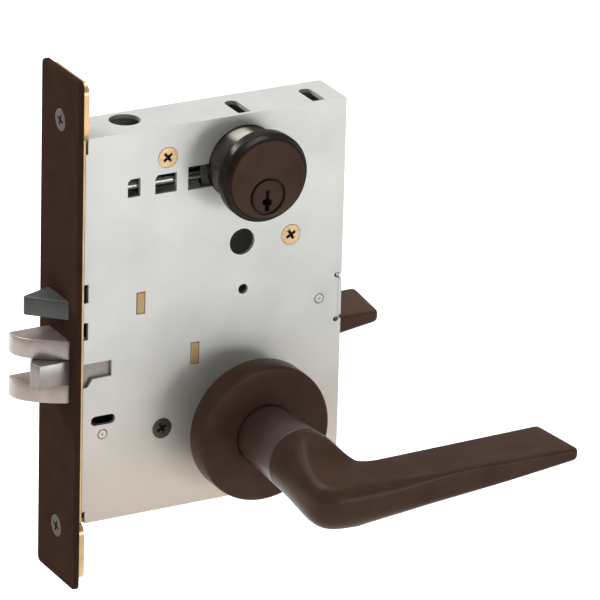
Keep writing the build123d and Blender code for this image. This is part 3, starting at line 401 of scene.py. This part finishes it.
def lever_grid(side):
    """The lever's rings. The fan turns from 0 to 90 degrees about the pivot; the outer
    reach is 1 / ((cos/reach across)^p + (sin/reach along)^p)^(1/p), which is a
    rectangle's corner rounded more as p falls."""
    neck_n, fan_n, arm_n, tip_n = 16, 44, 40, 10
    seam, pivot_out = SEAM[side], PIVOT_OUT[side]
    neck_out = np.linspace(seam, pivot_out, neck_n, endpoint=False)
    fan = np.radians(np.linspace(0, 90, fan_n))
    arm_x = np.linspace(PIVOT_X, ARM_TIP_X - 2.2, arm_n + 1)[1:]
    tip_x = ARM_TIP_X - 2.2 * (1 - np.sin(np.linspace(0, math.pi / 2, tip_n + 1)[1:]))
    turn = np.concatenate([np.zeros(neck_n), fan, np.full(arm_n + tip_n, math.pi / 2)])
    centre_x = np.concatenate([np.full(neck_n + fan_n, PIVOT_X), arm_x, tip_x])
    centre_out = np.concatenate([neck_out, np.full(fan_n + arm_n + tip_n, pivot_out)])
    along_arm = np.clip((centre_x - PIVOT_X) / (ARM_TIP_X - PIVOT_X), 0, 1)
    travel = np.concatenate([
        neck_out - seam, pivot_out - seam + fan * 23.0,
        pivot_out - seam + 36.0 + np.concatenate([arm_x, tip_x]) - PIVOT_X,
    ])
    reach_across = PIVOT_X - AXIS_X + NECK_R
    reach_along = 31.4 + 2.6 * along_arm
    power = 7.0
    corner = (np.cos(turn) / reach_across) ** power + (np.sin(turn) / reach_along) ** power
    outer = corner ** (-1 / power)
    inner = (PIVOT_X - AXIS_X - NECK_R) * np.ones_like(turn)
    inner = blend(inner, 9.0, ease(np.degrees(turn) / 90)) - 0.9 * along_arm
    scoop = ease((travel - 3.0) / 24.0)
    high = blend(AXIS_Z + NECK_R, ARM_TOP, scoop)
    low = blend(AXIS_Z - NECK_R, ARM_BOTTOM_ROOT, ease(travel / 26.0))
    tip_low = ARM_TOP - TIP_THICKNESS
    low = blend(low, tip_low, np.clip((travel - 30.0) / (travel[-1] - 30.0), 0, 1) ** 0.9)
    # corners: full circle on the neck, then a soft crease on top and a rounder foot
    square = ease(travel / 26.0)
    crease = blend(6.0, 1.6, ease((travel - 30.0) / 40.0))
    foot = blend(6.0, 1.8, ease((travel - 30.0) / 60.0))
    r_out_top = blend(NECK_R, crease, square)
    r_in_top = blend(NECK_R, blend(3.0, 1.3, along_arm), square)
    r_out_low = blend(NECK_R, foot, ease(travel / 44.0))
    r_in_low = blend(NECK_R, foot, ease(travel / 44.0))
    # the tip's edge closes in by a quarter circle
    close = np.zeros_like(turn)
    close[-tip_n:] = 1 - np.cos(np.linspace(0, math.pi / 2, tip_n + 1)[1:])
    inner, outer = inner + 1.8 * close, outer - 1.8 * close
    low, high = low + 0.9 * close, high - 0.9 * close
    # and the seam's edge is just broken
    lip = np.zeros_like(turn)
    lip[0] = 0.35
    inner, outer, low, high = inner + lip, outer - lip, low + lip, high - lip
    ring = rounded_sections(inner, outer, low, high, r_in_top, r_out_top, r_out_low, r_in_low)
    x = centre_x[:, None] - np.cos(turn)[:, None] * ring[..., 0]
    out = centre_out[:, None] + np.sin(turn)[:, None] * ring[..., 0]
    near_tip = ease((x - ARM_TIP_X + 50.0) / 50.0)
    x = x + TIP_SLANT * near_tip * np.clip((ring[..., 0] - 8.0) / 25.0, 0, 1)
    return np.stack([x, side * out, ring[..., 1]], -1)


for side, word in ((-1, "outside"), (1, "inside")):
    lever = skin(f"{word}_lever_skin", lever_grid(side), smooth_angle=50)
    dress(lever, f"{word}_handle", "bronze", f"{word}_lever")
print("lever seams, mm from the door's middle:", SEAM)

# %% [markdown]
# ## Neck and rose
# The neck is a tube that flares a little towards the lever, and the rose is a spun cup.
# Both are round, so each is an outline turned about the lever's axis.

# %% Neck and rose
for side, word in ((-1, "outside"), (1, "inside")):
    low, high = span(f"{word}_neck_sleeve")
    start, end = sorted((abs(low[1]), abs(high[1])))
    tube = soften(
        [(SLEEVE_BORE_R, start), (SLEEVE_R, start), (SLEEVE_R, ROSE_FRONT),
         (NECK_R - 0.1, end), (SLEEVE_BORE_R, end)],
        [0.2, 0.3, 2.0, 0.35, 0.2],
    )
    tube[:, 1] *= side
    neck = turned(f"{word}_neck_skin", tube, AXIS_X, AXIS_Z)
    dress(neck, f"{word}_handle", "bronze", f"{word}_neck_sleeve")
    neck.data.materials[0] = TRIM
    cup = soften(
        [(ROSE_R, DOOR_FACE), (ROSE_R, ROSE_FRONT), (ROSE_HOLE_R, ROSE_FRONT),
         (ROSE_HOLE_R, ROSE_FRONT - ROSE_WALL), (ROSE_R - ROSE_WALL, ROSE_FRONT - ROSE_WALL),
         (ROSE_R - ROSE_WALL, DOOR_FACE)],
        [0.3, 1.7, 0.4, 0.3, 1.2, 0.3],
    )
    cup[:, 1] *= side
    rose = turned(f"{word}_rose_skin", cup, AXIS_X, AXIS_Z)
    dress(rose, "lock_case", "bronze", f"{word}_rose")

# %% [markdown]
# ## The cylinder
# The cylinder's head is a thin disc with a broken edge and a groove round the plug. The
# collar behind it tapers towards the front. The plug's keyway runs out through its foot,
# so the plug is one outline with the keyway in it, drawn out along its length.

# %% Rings that need not share a centre


def ringed(name, rings, x, turns=128, smooth_angle=35.0):
    """A closed loop of circles. Each ring is (centre z, radius, distance out from the
    door's middle), so a hole can be cut off centre: x + r cos a, -out, z + r sin a."""
    rings = np.asarray(rings, float)
    a = np.linspace(0, 2 * math.pi, turns, endpoint=False)
    z, r, out = (rings[:, k][:, None] for k in range(3))
    y = np.broadcast_to(-out, (len(rings), turns))
    grid = np.stack([x + r * np.cos(a), y, z + r * np.sin(a)], -1)
    return skin(name, grid, loop_rows=True, smooth_angle=smooth_angle)


# %% Collar and head
collar_low, collar_high = span("cylinder_collar")
COLLAR_R = float(collar_high[0] - collar_low[0]) / 2
COLLAR_FRONT = -float(collar_low[1])
RIM_FRONT = DOOR_FACE + 4.4
COLLAR_BORE_R = 14.7
collar_loop = soften(
    [(COLLAR_R, DOOR_FACE), (COLLAR_R, RIM_FRONT), (COLLAR_R - 0.65, RIM_FRONT),
     (CYL_HEAD_R + 0.55, COLLAR_FRONT), (CYL_HEAD_R + 0.06, COLLAR_FRONT),
     (CYL_HEAD_R + 0.06, COLLAR_FRONT - 1.2), (COLLAR_BORE_R, COLLAR_FRONT - 1.2),
     (COLLAR_BORE_R, DOOR_FACE)],
    [0.5, 0.5, 0.12, 0.3, 0.15, 0.2, 0.2, 0.3],
)
collar_loop[:, 1] *= -1
collar = turned("collar_skin", collar_loop, CYL_X, CYL_Z)
dress(collar, "lock_case", "bronze", "cylinder_collar")
# the collar wears the near-black bronze of painted shade
collar.data.materials[0] = SHADED_COLLAR_BRONZE
HEAD_T = 2.2
HOLE_R = PLUG_R + 0.08
RECESS_R = 7.4
head_rings = [
    (CYL_Z, CYL_HEAD_R, CYL_FACE - HEAD_T), (CYL_Z, CYL_HEAD_R, CYL_FACE - 0.7),
    (CYL_Z, CYL_HEAD_R - 0.15, CYL_FACE - 0.25), (CYL_Z, CYL_HEAD_R - 0.5, CYL_FACE - 0.02),
    (CYL_Z, CYL_HEAD_R - 0.75, CYL_FACE), (CYL_Z, CYL_HEAD_R - 1.0, CYL_FACE - 0.12),
    (blend(CYL_Z, PLUG_Z, 0.5), blend(CYL_HEAD_R - 1.0, RECESS_R, 0.5), CYL_FACE - 0.12),
    (PLUG_Z, RECESS_R, CYL_FACE - 0.12), (PLUG_Z, RECESS_R - 0.15, CYL_FACE - 0.3),
    (PLUG_Z, RECESS_R - 0.2, CYL_FACE - 1.4), (PLUG_Z, HOLE_R, CYL_FACE - 1.5),
    (PLUG_Z, HOLE_R, CYL_FACE - HEAD_T),
]
head = ringed("cylinder_head_skin", head_rings, CYL_X)
dress(head, "lock_case", "bronze", "cylinder_shell")

# %% [markdown]
# ## The threaded barrel
# Behind the head the cylinder is bare bright metal with a fine thread; its steel is painted
# darker here, painted shade for the dark surroundings that it reflects. A real thread climbs, but
# at this pitch a stack of ridges looks the same and stays closed.

# %% The threaded barrel
THREAD_PITCH = 0.79
THREAD_DEPTH = 0.18
THREAD_R = 14.55
barrel_back = -float(shell_high[1])
barrel_front = CYL_FACE - HEAD_T
ridge_count = int((barrel_front - barrel_back) / THREAD_PITCH)
out = np.linspace(barrel_front, barrel_back, 2 * ridge_count + 1)
ridge = THREAD_R - THREAD_DEPTH * (np.arange(len(out)) % 2)
barrel_rings = [(CYL_Z, r, o) for r, o in zip(ridge, out)]
barrel_rings += [(PLUG_Z, HOLE_R, barrel_back), (PLUG_Z, HOLE_R, barrel_front)]
barrel = ringed("cylinder_barrel_skin", barrel_rings, CYL_X, turns=96, smooth_angle=20)
dress(barrel, "lock_case", "steel")
# the barrel takes the darkened steel of painted shade
barrel.data.materials[0] = SHADED_BARREL_STEEL
print("thread ridges:", ridge_count)

# %% [markdown]
# ## The plug
# The plug is a rod with the keyway milled in from its foot. Its outline is the arc of
# the rod joined to the sides of the keyway, and the outline is drawn out along the rod.

# %% The plug and its keyway


def prism(name, outline, levels, insets, to_point, smooth_angle=30.0):
    """An outline drawn out through several levels, each pulled in by its own inset along
    the outline's bisectors, and closed at both ends by one face."""
    outline = np.asarray(outline, float)
    ahead = np.roll(outline, -1, 0) - outline
    ahead /= np.linalg.norm(ahead, axis=1, keepdims=True)
    behind = np.roll(ahead, 1, 0)
    normal_a = np.stack([-ahead[:, 1], ahead[:, 0]], -1)
    normal_b = np.stack([-behind[:, 1], behind[:, 0]], -1)
    bisector = normal_a + normal_b
    bisector /= np.maximum((bisector * normal_a).sum(1, keepdims=True), 0.35)
    turn = np.roll(outline, -1, 0)
    area = float((outline[:, 0] * turn[:, 1] - outline[:, 1] * turn[:, 0]).sum()) / 2
    inward = bisector * (1 if area > 0 else -1)
    grid = np.stack([to_point(outline + inward * inset, level)
                     for level, inset in zip(levels, insets)])
    rows, cols = grid.shape[:2]
    faces = [tuple(f) for f in grid_quads(rows, cols)]
    faces += [tuple(range(cols - 1, -1, -1)), tuple(range((rows - 1) * cols, rows * cols))]
    return make_object(name, grid.reshape(-1, 3), faces, smooth_angle)


def along_y(points, level):
    """Puts an outline in x and z at one y."""
    return np.stack([points[:, 0], np.full(len(points), level), points[:, 1]], -1)


KEYWAY = [(0.75, -PLUG_R), (0.75, -3.9), (1.75, -3.3), (1.75, -1.7), (0.65, -1.2), (0.65, 2.3),
          (-0.65, 2.3), (-0.65, -0.9), (-2.0, -1.3), (-2.0, -2.9), (-0.9, -3.4), (-0.9, -PLUG_R)]
open_right = math.asin(0.75 / PLUG_R)
open_left = math.asin(0.9 / PLUG_R)
rim = np.linspace(-math.pi / 2 - open_left, -math.pi * 2.5 + open_right, 90)
rim_points = np.stack([PLUG_R * np.cos(rim), PLUG_R * np.sin(rim)], -1)
plug_outline = np.vstack([KEYWAY[1:-1], rim_points]) + (CYL_X, PLUG_Z)
plug_back = float(plug_high[1])
plug_front = float(plug_low[1])
plug = prism("plug_skin", plug_outline, [plug_back, plug_front + 0.25, plug_front],
             [0, 0, 0.2], along_y)
dress(plug, "key_plug", "bronze", "cylinder_plug")
plug.data.materials[0] = PLUG_BRONZE
print("plug from", round(plug_front, 2), "to", round(plug_back, 2))

# %% [markdown]
# ## Screws with a crossed recess
# A recess seen from its middle is a star shape, so its edge is a radius for each angle:
# the farther of the two crossed slots. Rings from the shank, over the rim and down into
# the recess make one closed head.

# %% Screws


def cross_radius(angle, reach, half):
    """The farther of two crossed slots: min(reach / |cos|, half / |sin|) and the same
    with cos and sin exchanged."""
    c, s = np.abs(np.cos(angle)) + 1e-9, np.abs(np.sin(angle)) + 1e-9
    return np.maximum(np.minimum(reach / c, half / s), np.minimum(reach / s, half / c))


def crossed_head(name, middle, head_r, shank_r, face, depth, axis, reach, half, turn):
    """A screw head square to one axis. The face is at one place along it, and the head
    goes in by its depth. The recess stands turned by some degrees."""
    tilt = math.atan(half / reach)
    quarter_turn = np.array([-tilt * 1.02, -tilt, 0, tilt, tilt * 1.02, 0.5, math.pi / 4, 1.1])
    angle = np.sort(np.concatenate([quarter_turn + k * math.pi / 2 for k in range(4)]
                                   + [np.linspace(0, 2 * math.pi, 48, endpoint=False) + 0.03]))
    rings = [
        (shank_r, face + depth), (shank_r, face + head_r - shank_r), (head_r, face + 0.08),
        (head_r - 0.15, face - 0.02), (blend(head_r, reach, 0.5), face - 0.04),
    ]
    loops = [(np.full(len(angle), r), a) for r, a in rings]
    loops.append((cross_radius(angle, reach, half), face - 0.03))
    loops.append((cross_radius(angle, reach * 0.55, half * 0.8), face + 1.5))
    grid = []
    aim = angle + math.radians(turn)
    for r, along in loops:
        u, v = middle[0] + r * np.cos(aim), middle[1] + r * np.sin(aim)
        level = np.full(len(angle), along)
        grid.append(np.stack([level, u, v] if axis == "X" else [u, level, v], -1))
    return skin(name, np.stack(grid), smooth_angle=30)


def join_pieces(name, pieces):
    """One object from several, so that it can stand for one CAD node."""
    points, faces, count = [], [], 0
    for piece in pieces:
        own = np.empty(len(piece.data.vertices) * 3)
        piece.data.vertices.foreach_get("co", own)
        faces += [tuple(int(v) + count for v in f.vertices) for f in piece.data.polygons]
        points.append(own.reshape(-1, 3) / MM)
        count += len(piece.data.vertices)
        mesh = piece.data
        bpy.data.objects.remove(piece)
        bpy.data.meshes.remove(mesh)
    points = np.vstack(points)
    mesh = bpy.data.meshes.new(name)
    mesh.from_pydata((points * MM).tolist(), [], faces)
    mesh.shade_smooth()
    mesh.set_sharp_from_angle(angle=math.radians(30))
    joined = bpy.data.objects.new(name, mesh)
    bpy.context.collection.objects.link(joined)
    return joined


COVER_SCREWS = [(38.2, 65.8), (90.5, 26.8)]
LOCK_SCREW = (37.7, -42.7)
COVER_SHANK_R = 1.85
heads = [crossed_head(f"cover_screw_{k}", at, 3.95, COVER_SHANK_R, -COVER_FACE, 20.0, "Y",
                      2.2, 0.6, turn) for k, (at, turn) in enumerate(zip(COVER_SCREWS, (38, 30)))]
cover_screws = dress(join_pieces("cover_screws_skin", heads), "lock_case", "gold",
                     "cover_screws")
cover_screws.data.materials[0] = GOLD_SCREW
lock_screw = crossed_head("lock_screw_skin", LOCK_SCREW, 3.85, COVER_SHANK_R,
                          -COVER_FACE + 0.15, 20.0, "Y", 2.3, 0.55, 28)
dress(lock_screw, "lock_case", "darksteel", "cover_lock_screw")
lock_screw.data.materials[0] = DARK_SCREW
screw_low, screw_high = span("armour_front_screws")
SCREW_MID_Z = float(screw_low[2] + screw_high[2]) / 2
SCREW_APART = float(screw_high[2] - screw_low[2]) / 2 - 4.6
heads = [crossed_head(f"armour_screw_{k}", (0, SCREW_MID_Z + k * SCREW_APART), 4.35, 2.3, 0.06,
                      4.8, "X", 2.3, 0.5, 20) for k in (-1, 1)]
armour_screws = dress(join_pieces("armour_screws_skin", heads), "lock_case", "bronze",
                      "armour_front_screws")
armour_screws.data.materials[0] = ARMOUR_SCREW

# %% [markdown]
# ## Stakes and rivets
# The stakes and the rivet ends stop short of their holes all round, which leaves the
# fine dark outline of a real staked joint.

# %% Stakes and rivets
stake_low, stake_high = span("guide_stakes")
STAKES = [(27.9, 9.65), (50.9, -14.4)]
STAKE_HALF = (1.6, 4.15)
RIVETS = [(103.3, -1.3), (12.7, -40.6)]
RIVET_R = 1.78


def rounded_block(name, low, high, edge):
    """A box whose edges along Y are broken: an outline with soft corners, pulled in at
    both ends."""
    corners = [(low[0], low[2]), (high[0], low[2]), (high[0], high[2]), (low[0], high[2])]
    outline = soften(corners, edge * 2, 4)
    levels = [low[1], low[1] + edge * 0.3, low[1] + edge, high[1] - edge, high[1]]
    return prism(name, outline, levels, [edge, edge * 0.3, 0, 0, edge], along_y)


stakes = []
half_x, half_z = STAKE_HALF
for k, (x, z) in enumerate(STAKES):
    stakes.append(rounded_block(f"stake_{k}", (x - half_x, stake_low[1], z - half_z),
                                (x + half_x, stake_high[1], z + half_z), 0.25))
dress(join_pieces("guide_stakes_skin", stakes), "lock_case", "brass", "guide_stakes")
rivet_low, rivet_high = span("case_rivets")
rivets = []
for k, (x, z) in enumerate(RIVETS):
    near, far = float(rivet_low[1]), float(rivet_high[1])
    outline = soften([(0.3, near), (RIVET_R, near), (RIVET_R, far), (0.3, far)],
                     [0.05, 0.3, 0.3, 0.05])
    rivets.append(turned(f"rivet_{k}", outline, x, z, turns=48))
dress(join_pieces("case_rivets_skin", rivets), "lock_case", "zinc", "case_rivets")

# %% [markdown]
# ## Bolts
# The latch has two lobes and a web behind them, with the anti-friction tongue between.
# Every lobe is a plan outline with soft corners, drawn upwards and pulled in at the top
# and the bottom, so that its edges catch the light.

# %% Bolts


def along_z(points, level):
    """Puts a plan outline in x and y at one height."""
    return np.stack([points[:, 0], points[:, 1], np.full(len(points), level)], -1)


def bolt_slab(name, outline, low, high, edge):
    """A plan outline drawn upwards, with its top and bottom edges broken."""
    levels = [low, low + edge * 0.3, low + edge, high - edge, high - edge * 0.3, high]
    insets = [edge, edge * 0.3, 0, 0, edge * 0.3, edge]
    return prism(name, outline, levels, insets, along_z)


latch_low, latch_high = span("latch_head")
LATCH_Z = float(latch_low[2] + latch_high[2]) / 2
NOTCH = 4.85
reach = float(-latch_low[0])
near, far, back = float(latch_low[1]), float(latch_high[1]), float(latch_high[0])
bend = np.linspace(0, 1, 18)[:, None]
start_point, mid_point, end_point = map(np.array, [
    (0.0, near), (-reach * 0.79, near + 8.4), (-reach, far - 1.1)])
control = 2 * mid_point - (start_point + end_point) / 2
nose = (1 - bend) ** 2 * start_point + 2 * bend * (1 - bend) * control + bend**2 * end_point
nose[:, 0] = np.maximum(nose[:, 0], -reach)
lobe = np.vstack([[(back, far), (back, near)], nose, [(-reach + 0.8, far)]])
pieces = [
    bolt_slab("upper_lobe", lobe, LATCH_Z + NOTCH, float(latch_high[2]), 0.45),
    bolt_slab("lower_lobe", lobe, float(latch_low[2]), LATCH_Z - NOTCH, 0.45),
    bolt_slab("web", [(back, far), (back, near), (13.0, near), (13.0, far)],
              LATCH_Z - NOTCH - 0.5, LATCH_Z + NOTCH + 0.5, 0.2),
]
dress(join_pieces("latch_skin", pieces), "latch", "nickel", "latch_head")
tongue_low, tongue_high = span("antifriction_tongue")
face = float(tongue_low[1])
plan = soften([(3.0, face), (-12.4, face), (-14.1, face + 4.0), (-11.5, face + 8.0),
               (-9.0, 5.5), (11.0, 5.5), (11.0, -3.0)], [0.6, 0.5, 0.5, 0.8, 0.8, 0.4, 0.4])
tongue = bolt_slab("tongue_skin", plan, float(tongue_low[2]), float(tongue_high[2]), 0.4)
dress(tongue, "tongue", "nickel", "antifriction_tongue")
tongue.data.materials[0] = GUIDE_STEEL
aux_low, aux_high = span("auxiliary_latch")
near, far, reach, back = (float(v) for v in (aux_low[1], aux_high[1], -aux_low[0], aux_high[0]))
plan = soften([(back, near), (0, near), (-reach, 2.8), (-reach, 4.0), (0, far), (back, far)],
              [0.3, 0.6, 0.4, 0.4, 0.6, 0.3])
aux = bolt_slab("auxiliary_latch_skin", plan, float(aux_low[2]), float(aux_high[2]), 0.35)
dress(aux, "auxiliary", "darksteel", "auxiliary_latch")

# %% [markdown]
# ## Springs
# A coil is a small circle carried along a helix. The two long springs close up as their bolts go
# back;
# here each is wound at its length in the frame and given a mesh of its own.

# %% Springs
WIRE_SIDES = 10
STEPS_PER_TURN = 20
PIN_SPRING_R = 1.4
PIN_COUNT = 6


def coil(name, start, end, radius, wire, turns, axis):
    """A wire of one radius wound about a line: the wire's middle goes to
    radius (cos t, sin t) while it moves along, and the wire's section stays square to
    the coil's radius."""
    start, end = np.array(start, float), np.array(end, float)
    t = np.linspace(0, 2 * math.pi * turns, int(turns * STEPS_PER_TURN))
    across = {"X": ((0, 1, 0), (0, 0, 1)), "Y": ((0, 0, 1), (1, 0, 0)),
              "Z": ((1, 0, 0), (0, 1, 0))}[axis]
    u, v = np.array(across[0], float), np.array(across[1], float)
    along = (end - start) / np.linalg.norm(end - start)
    outward = np.cos(t)[:, None] * u + np.sin(t)[:, None] * v
    line = start + along * wire + (end - start - 2 * along * wire) * (t / t[-1])[:, None]
    middle = line + outward * (radius - wire)
    a = np.linspace(0, 2 * math.pi, WIRE_SIDES, endpoint=False)[None, :, None]
    grid = middle[:, None] + wire * (np.cos(a) * outward[:, None] + np.sin(a) * along)
    return skin(name, grid, smooth_angle=60)


def spring_ends(node, axis):
    """The middle of a spring's first and last turn, and its outer radius."""
    low, high = span(node)
    middle = (low + high) / 2
    k = "XYZ".index(axis)
    start, end = middle.copy(), middle.copy()
    start[k], end[k] = low[k], high[k]
    return start, end, float(high[(k + 1) % 3] - low[(k + 1) % 3]) / 2


for node, joint, travel, turns in (("latch_spring", "latch_slide", 16.5, 14),
                                   ("aux_latch_spring", "aux_latch_slide", 10.5, 7)):
    start, end, radius = spring_ends(node, "X")
    piece = dress(coil(f"{node}_skin", start, end, radius, 0.45, turns, "X"), "lock_case",
                  "spring", node)
    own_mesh(piece)
for word in ("outside", "inside"):
    start, end, radius = spring_ends(f"{word}_return_spring", "Y")
    dress(coil(f"{word}_return_spring_skin", start, end, radius, 0.6, 3.5, "Y"), "lock_case",
          "spring", f"{word}_return_spring")
low, high = span("pin_springs")
pin_pitch = (float(high[1] - low[1]) - 2 * PIN_SPRING_R) / (PIN_COUNT - 1)
coils = []
for k in range(PIN_COUNT):
    y = float(low[1]) + PIN_SPRING_R + k * pin_pitch
    middle = float(low[0] + high[0]) / 2
    coils.append(coil(f"pin_spring_{k}", (middle, y, low[2]), (middle, y, high[2]),
                      PIN_SPRING_R, 0.16, 7, "Z"))
dress(join_pieces("pin_springs_skin", coils), "lock_case", "spring", "pin_springs")

# %% [markdown]
# ## The stage
# A pale floor well below the lock, a white world and four soft lights. The lock is seen
# from the outside of the door, from the left and a little above.

# %% Camera, floor and lights
from mathutils import Matrix, Vector

camera_data = bpy.data.cameras.new("camera")
camera_data.sensor_width = 36.0
camera_data.lens = 349.35
camera_data.clip_end = 20.0
camera = bpy.data.objects.new("camera", camera_data)
bpy.context.collection.objects.link(camera)
across = (0.88162, -0.47128, 0.02516)
upward = (0.15788, 0.34473, 0.92533)
backward = (-0.44477, -0.81182, 0.37833)
place = (-0.880491, -1.793488, 0.829322)
camera.matrix_world = Matrix([
    [across[i], upward[i], backward[i], place[i]] for i in range(3)
] + [[0, 0, 0, 1]])
bpy.context.scene.camera = camera

FLOOR_Z = -0.20
FLOOR_REACH = 30.0
floor_mesh = bpy.data.meshes.new("floor")
floor_mesh.from_pydata(
    [(x * FLOOR_REACH, y * FLOOR_REACH, FLOOR_Z)
     for x, y in ((-1, -1), (1, -1), (1, 1), (-1, 1))], [], [(0, 1, 2, 3)],
)
floor = bpy.data.objects.new("floor", floor_mesh)
bpy.context.collection.objects.link(floor)
pale = bpy.data.materials.new("pale_floor")
pale.use_nodes = True
pale_shader = pale.node_tree.nodes["Principled BSDF"]
pale_shader.inputs["Base Color"].default_value = (0.94, 0.94, 0.94, 1)
pale_shader.inputs["Roughness"].default_value = 0.9
pale_shader.inputs["Emission Color"].default_value = (1, 1, 1, 1)
pale_shader.inputs["Emission Strength"].default_value = 0.2
floor_mesh.materials.append(pale)

world = bpy.data.worlds.new("white_room")
world.use_nodes = True
sky_nodes, sky_links = world.node_tree.nodes, world.node_tree.links
glow = sky_nodes["Background"]
glow.inputs["Color"].default_value = (1.0, 0.99, 0.975, 1)
glow.inputs["Strength"].default_value = 0.4
backdrop = sky_nodes.new("ShaderNodeBackground")
backdrop.inputs["Color"].default_value = (1, 1, 1, 1)
seen = sky_nodes.new("ShaderNodeLightPath")
choice = sky_nodes.new("ShaderNodeMixShader")
sky_links.new(seen.outputs["Is Camera Ray"], choice.inputs["Fac"])
sky_links.new(glow.outputs["Background"], choice.inputs[1])
sky_links.new(backdrop.outputs["Background"], choice.inputs[2])
sky_links.new(choice.outputs["Shader"], sky_nodes["World Output"].inputs["Surface"])
bpy.context.scene.world = world
bpy.context.scene.view_settings.view_transform = "Standard"


def soft_light(name, place, target, width, height, power):
    """A rectangular light at one point that faces another."""
    data = bpy.data.lights.new(name, "AREA")
    data.shape = "RECTANGLE"
    data.size, data.size_y, data.energy = width, height, power
    lamp = bpy.data.objects.new(name, data)
    lamp.location = place
    way = Vector(target) - Vector(place)
    lamp.rotation_euler = way.to_track_quat("-Z", "Y").to_euler()
    bpy.context.collection.objects.link(lamp)
    return lamp


LOCK_MIDDLE = (0.07, -0.02, 0.0)
for name, place, width, height, power in (
        ("front_light", (0.62, -1.45, -0.05), 0.42, 0.42, 6.6),
        ("left_light", (-1.2, -0.3, 0.7), 0.4, 1.0, 0.8),
        ("back_light", (-0.5, 1.2, 0.6), 0.35, 0.35, 22),
        ("top_light", (0.1, 0.3, 1.4), 1.0, 1.0, 21)):
    soft_light(name, place, LOCK_MIDDLE, width, height, power)
print("camera, floor and lights ready")
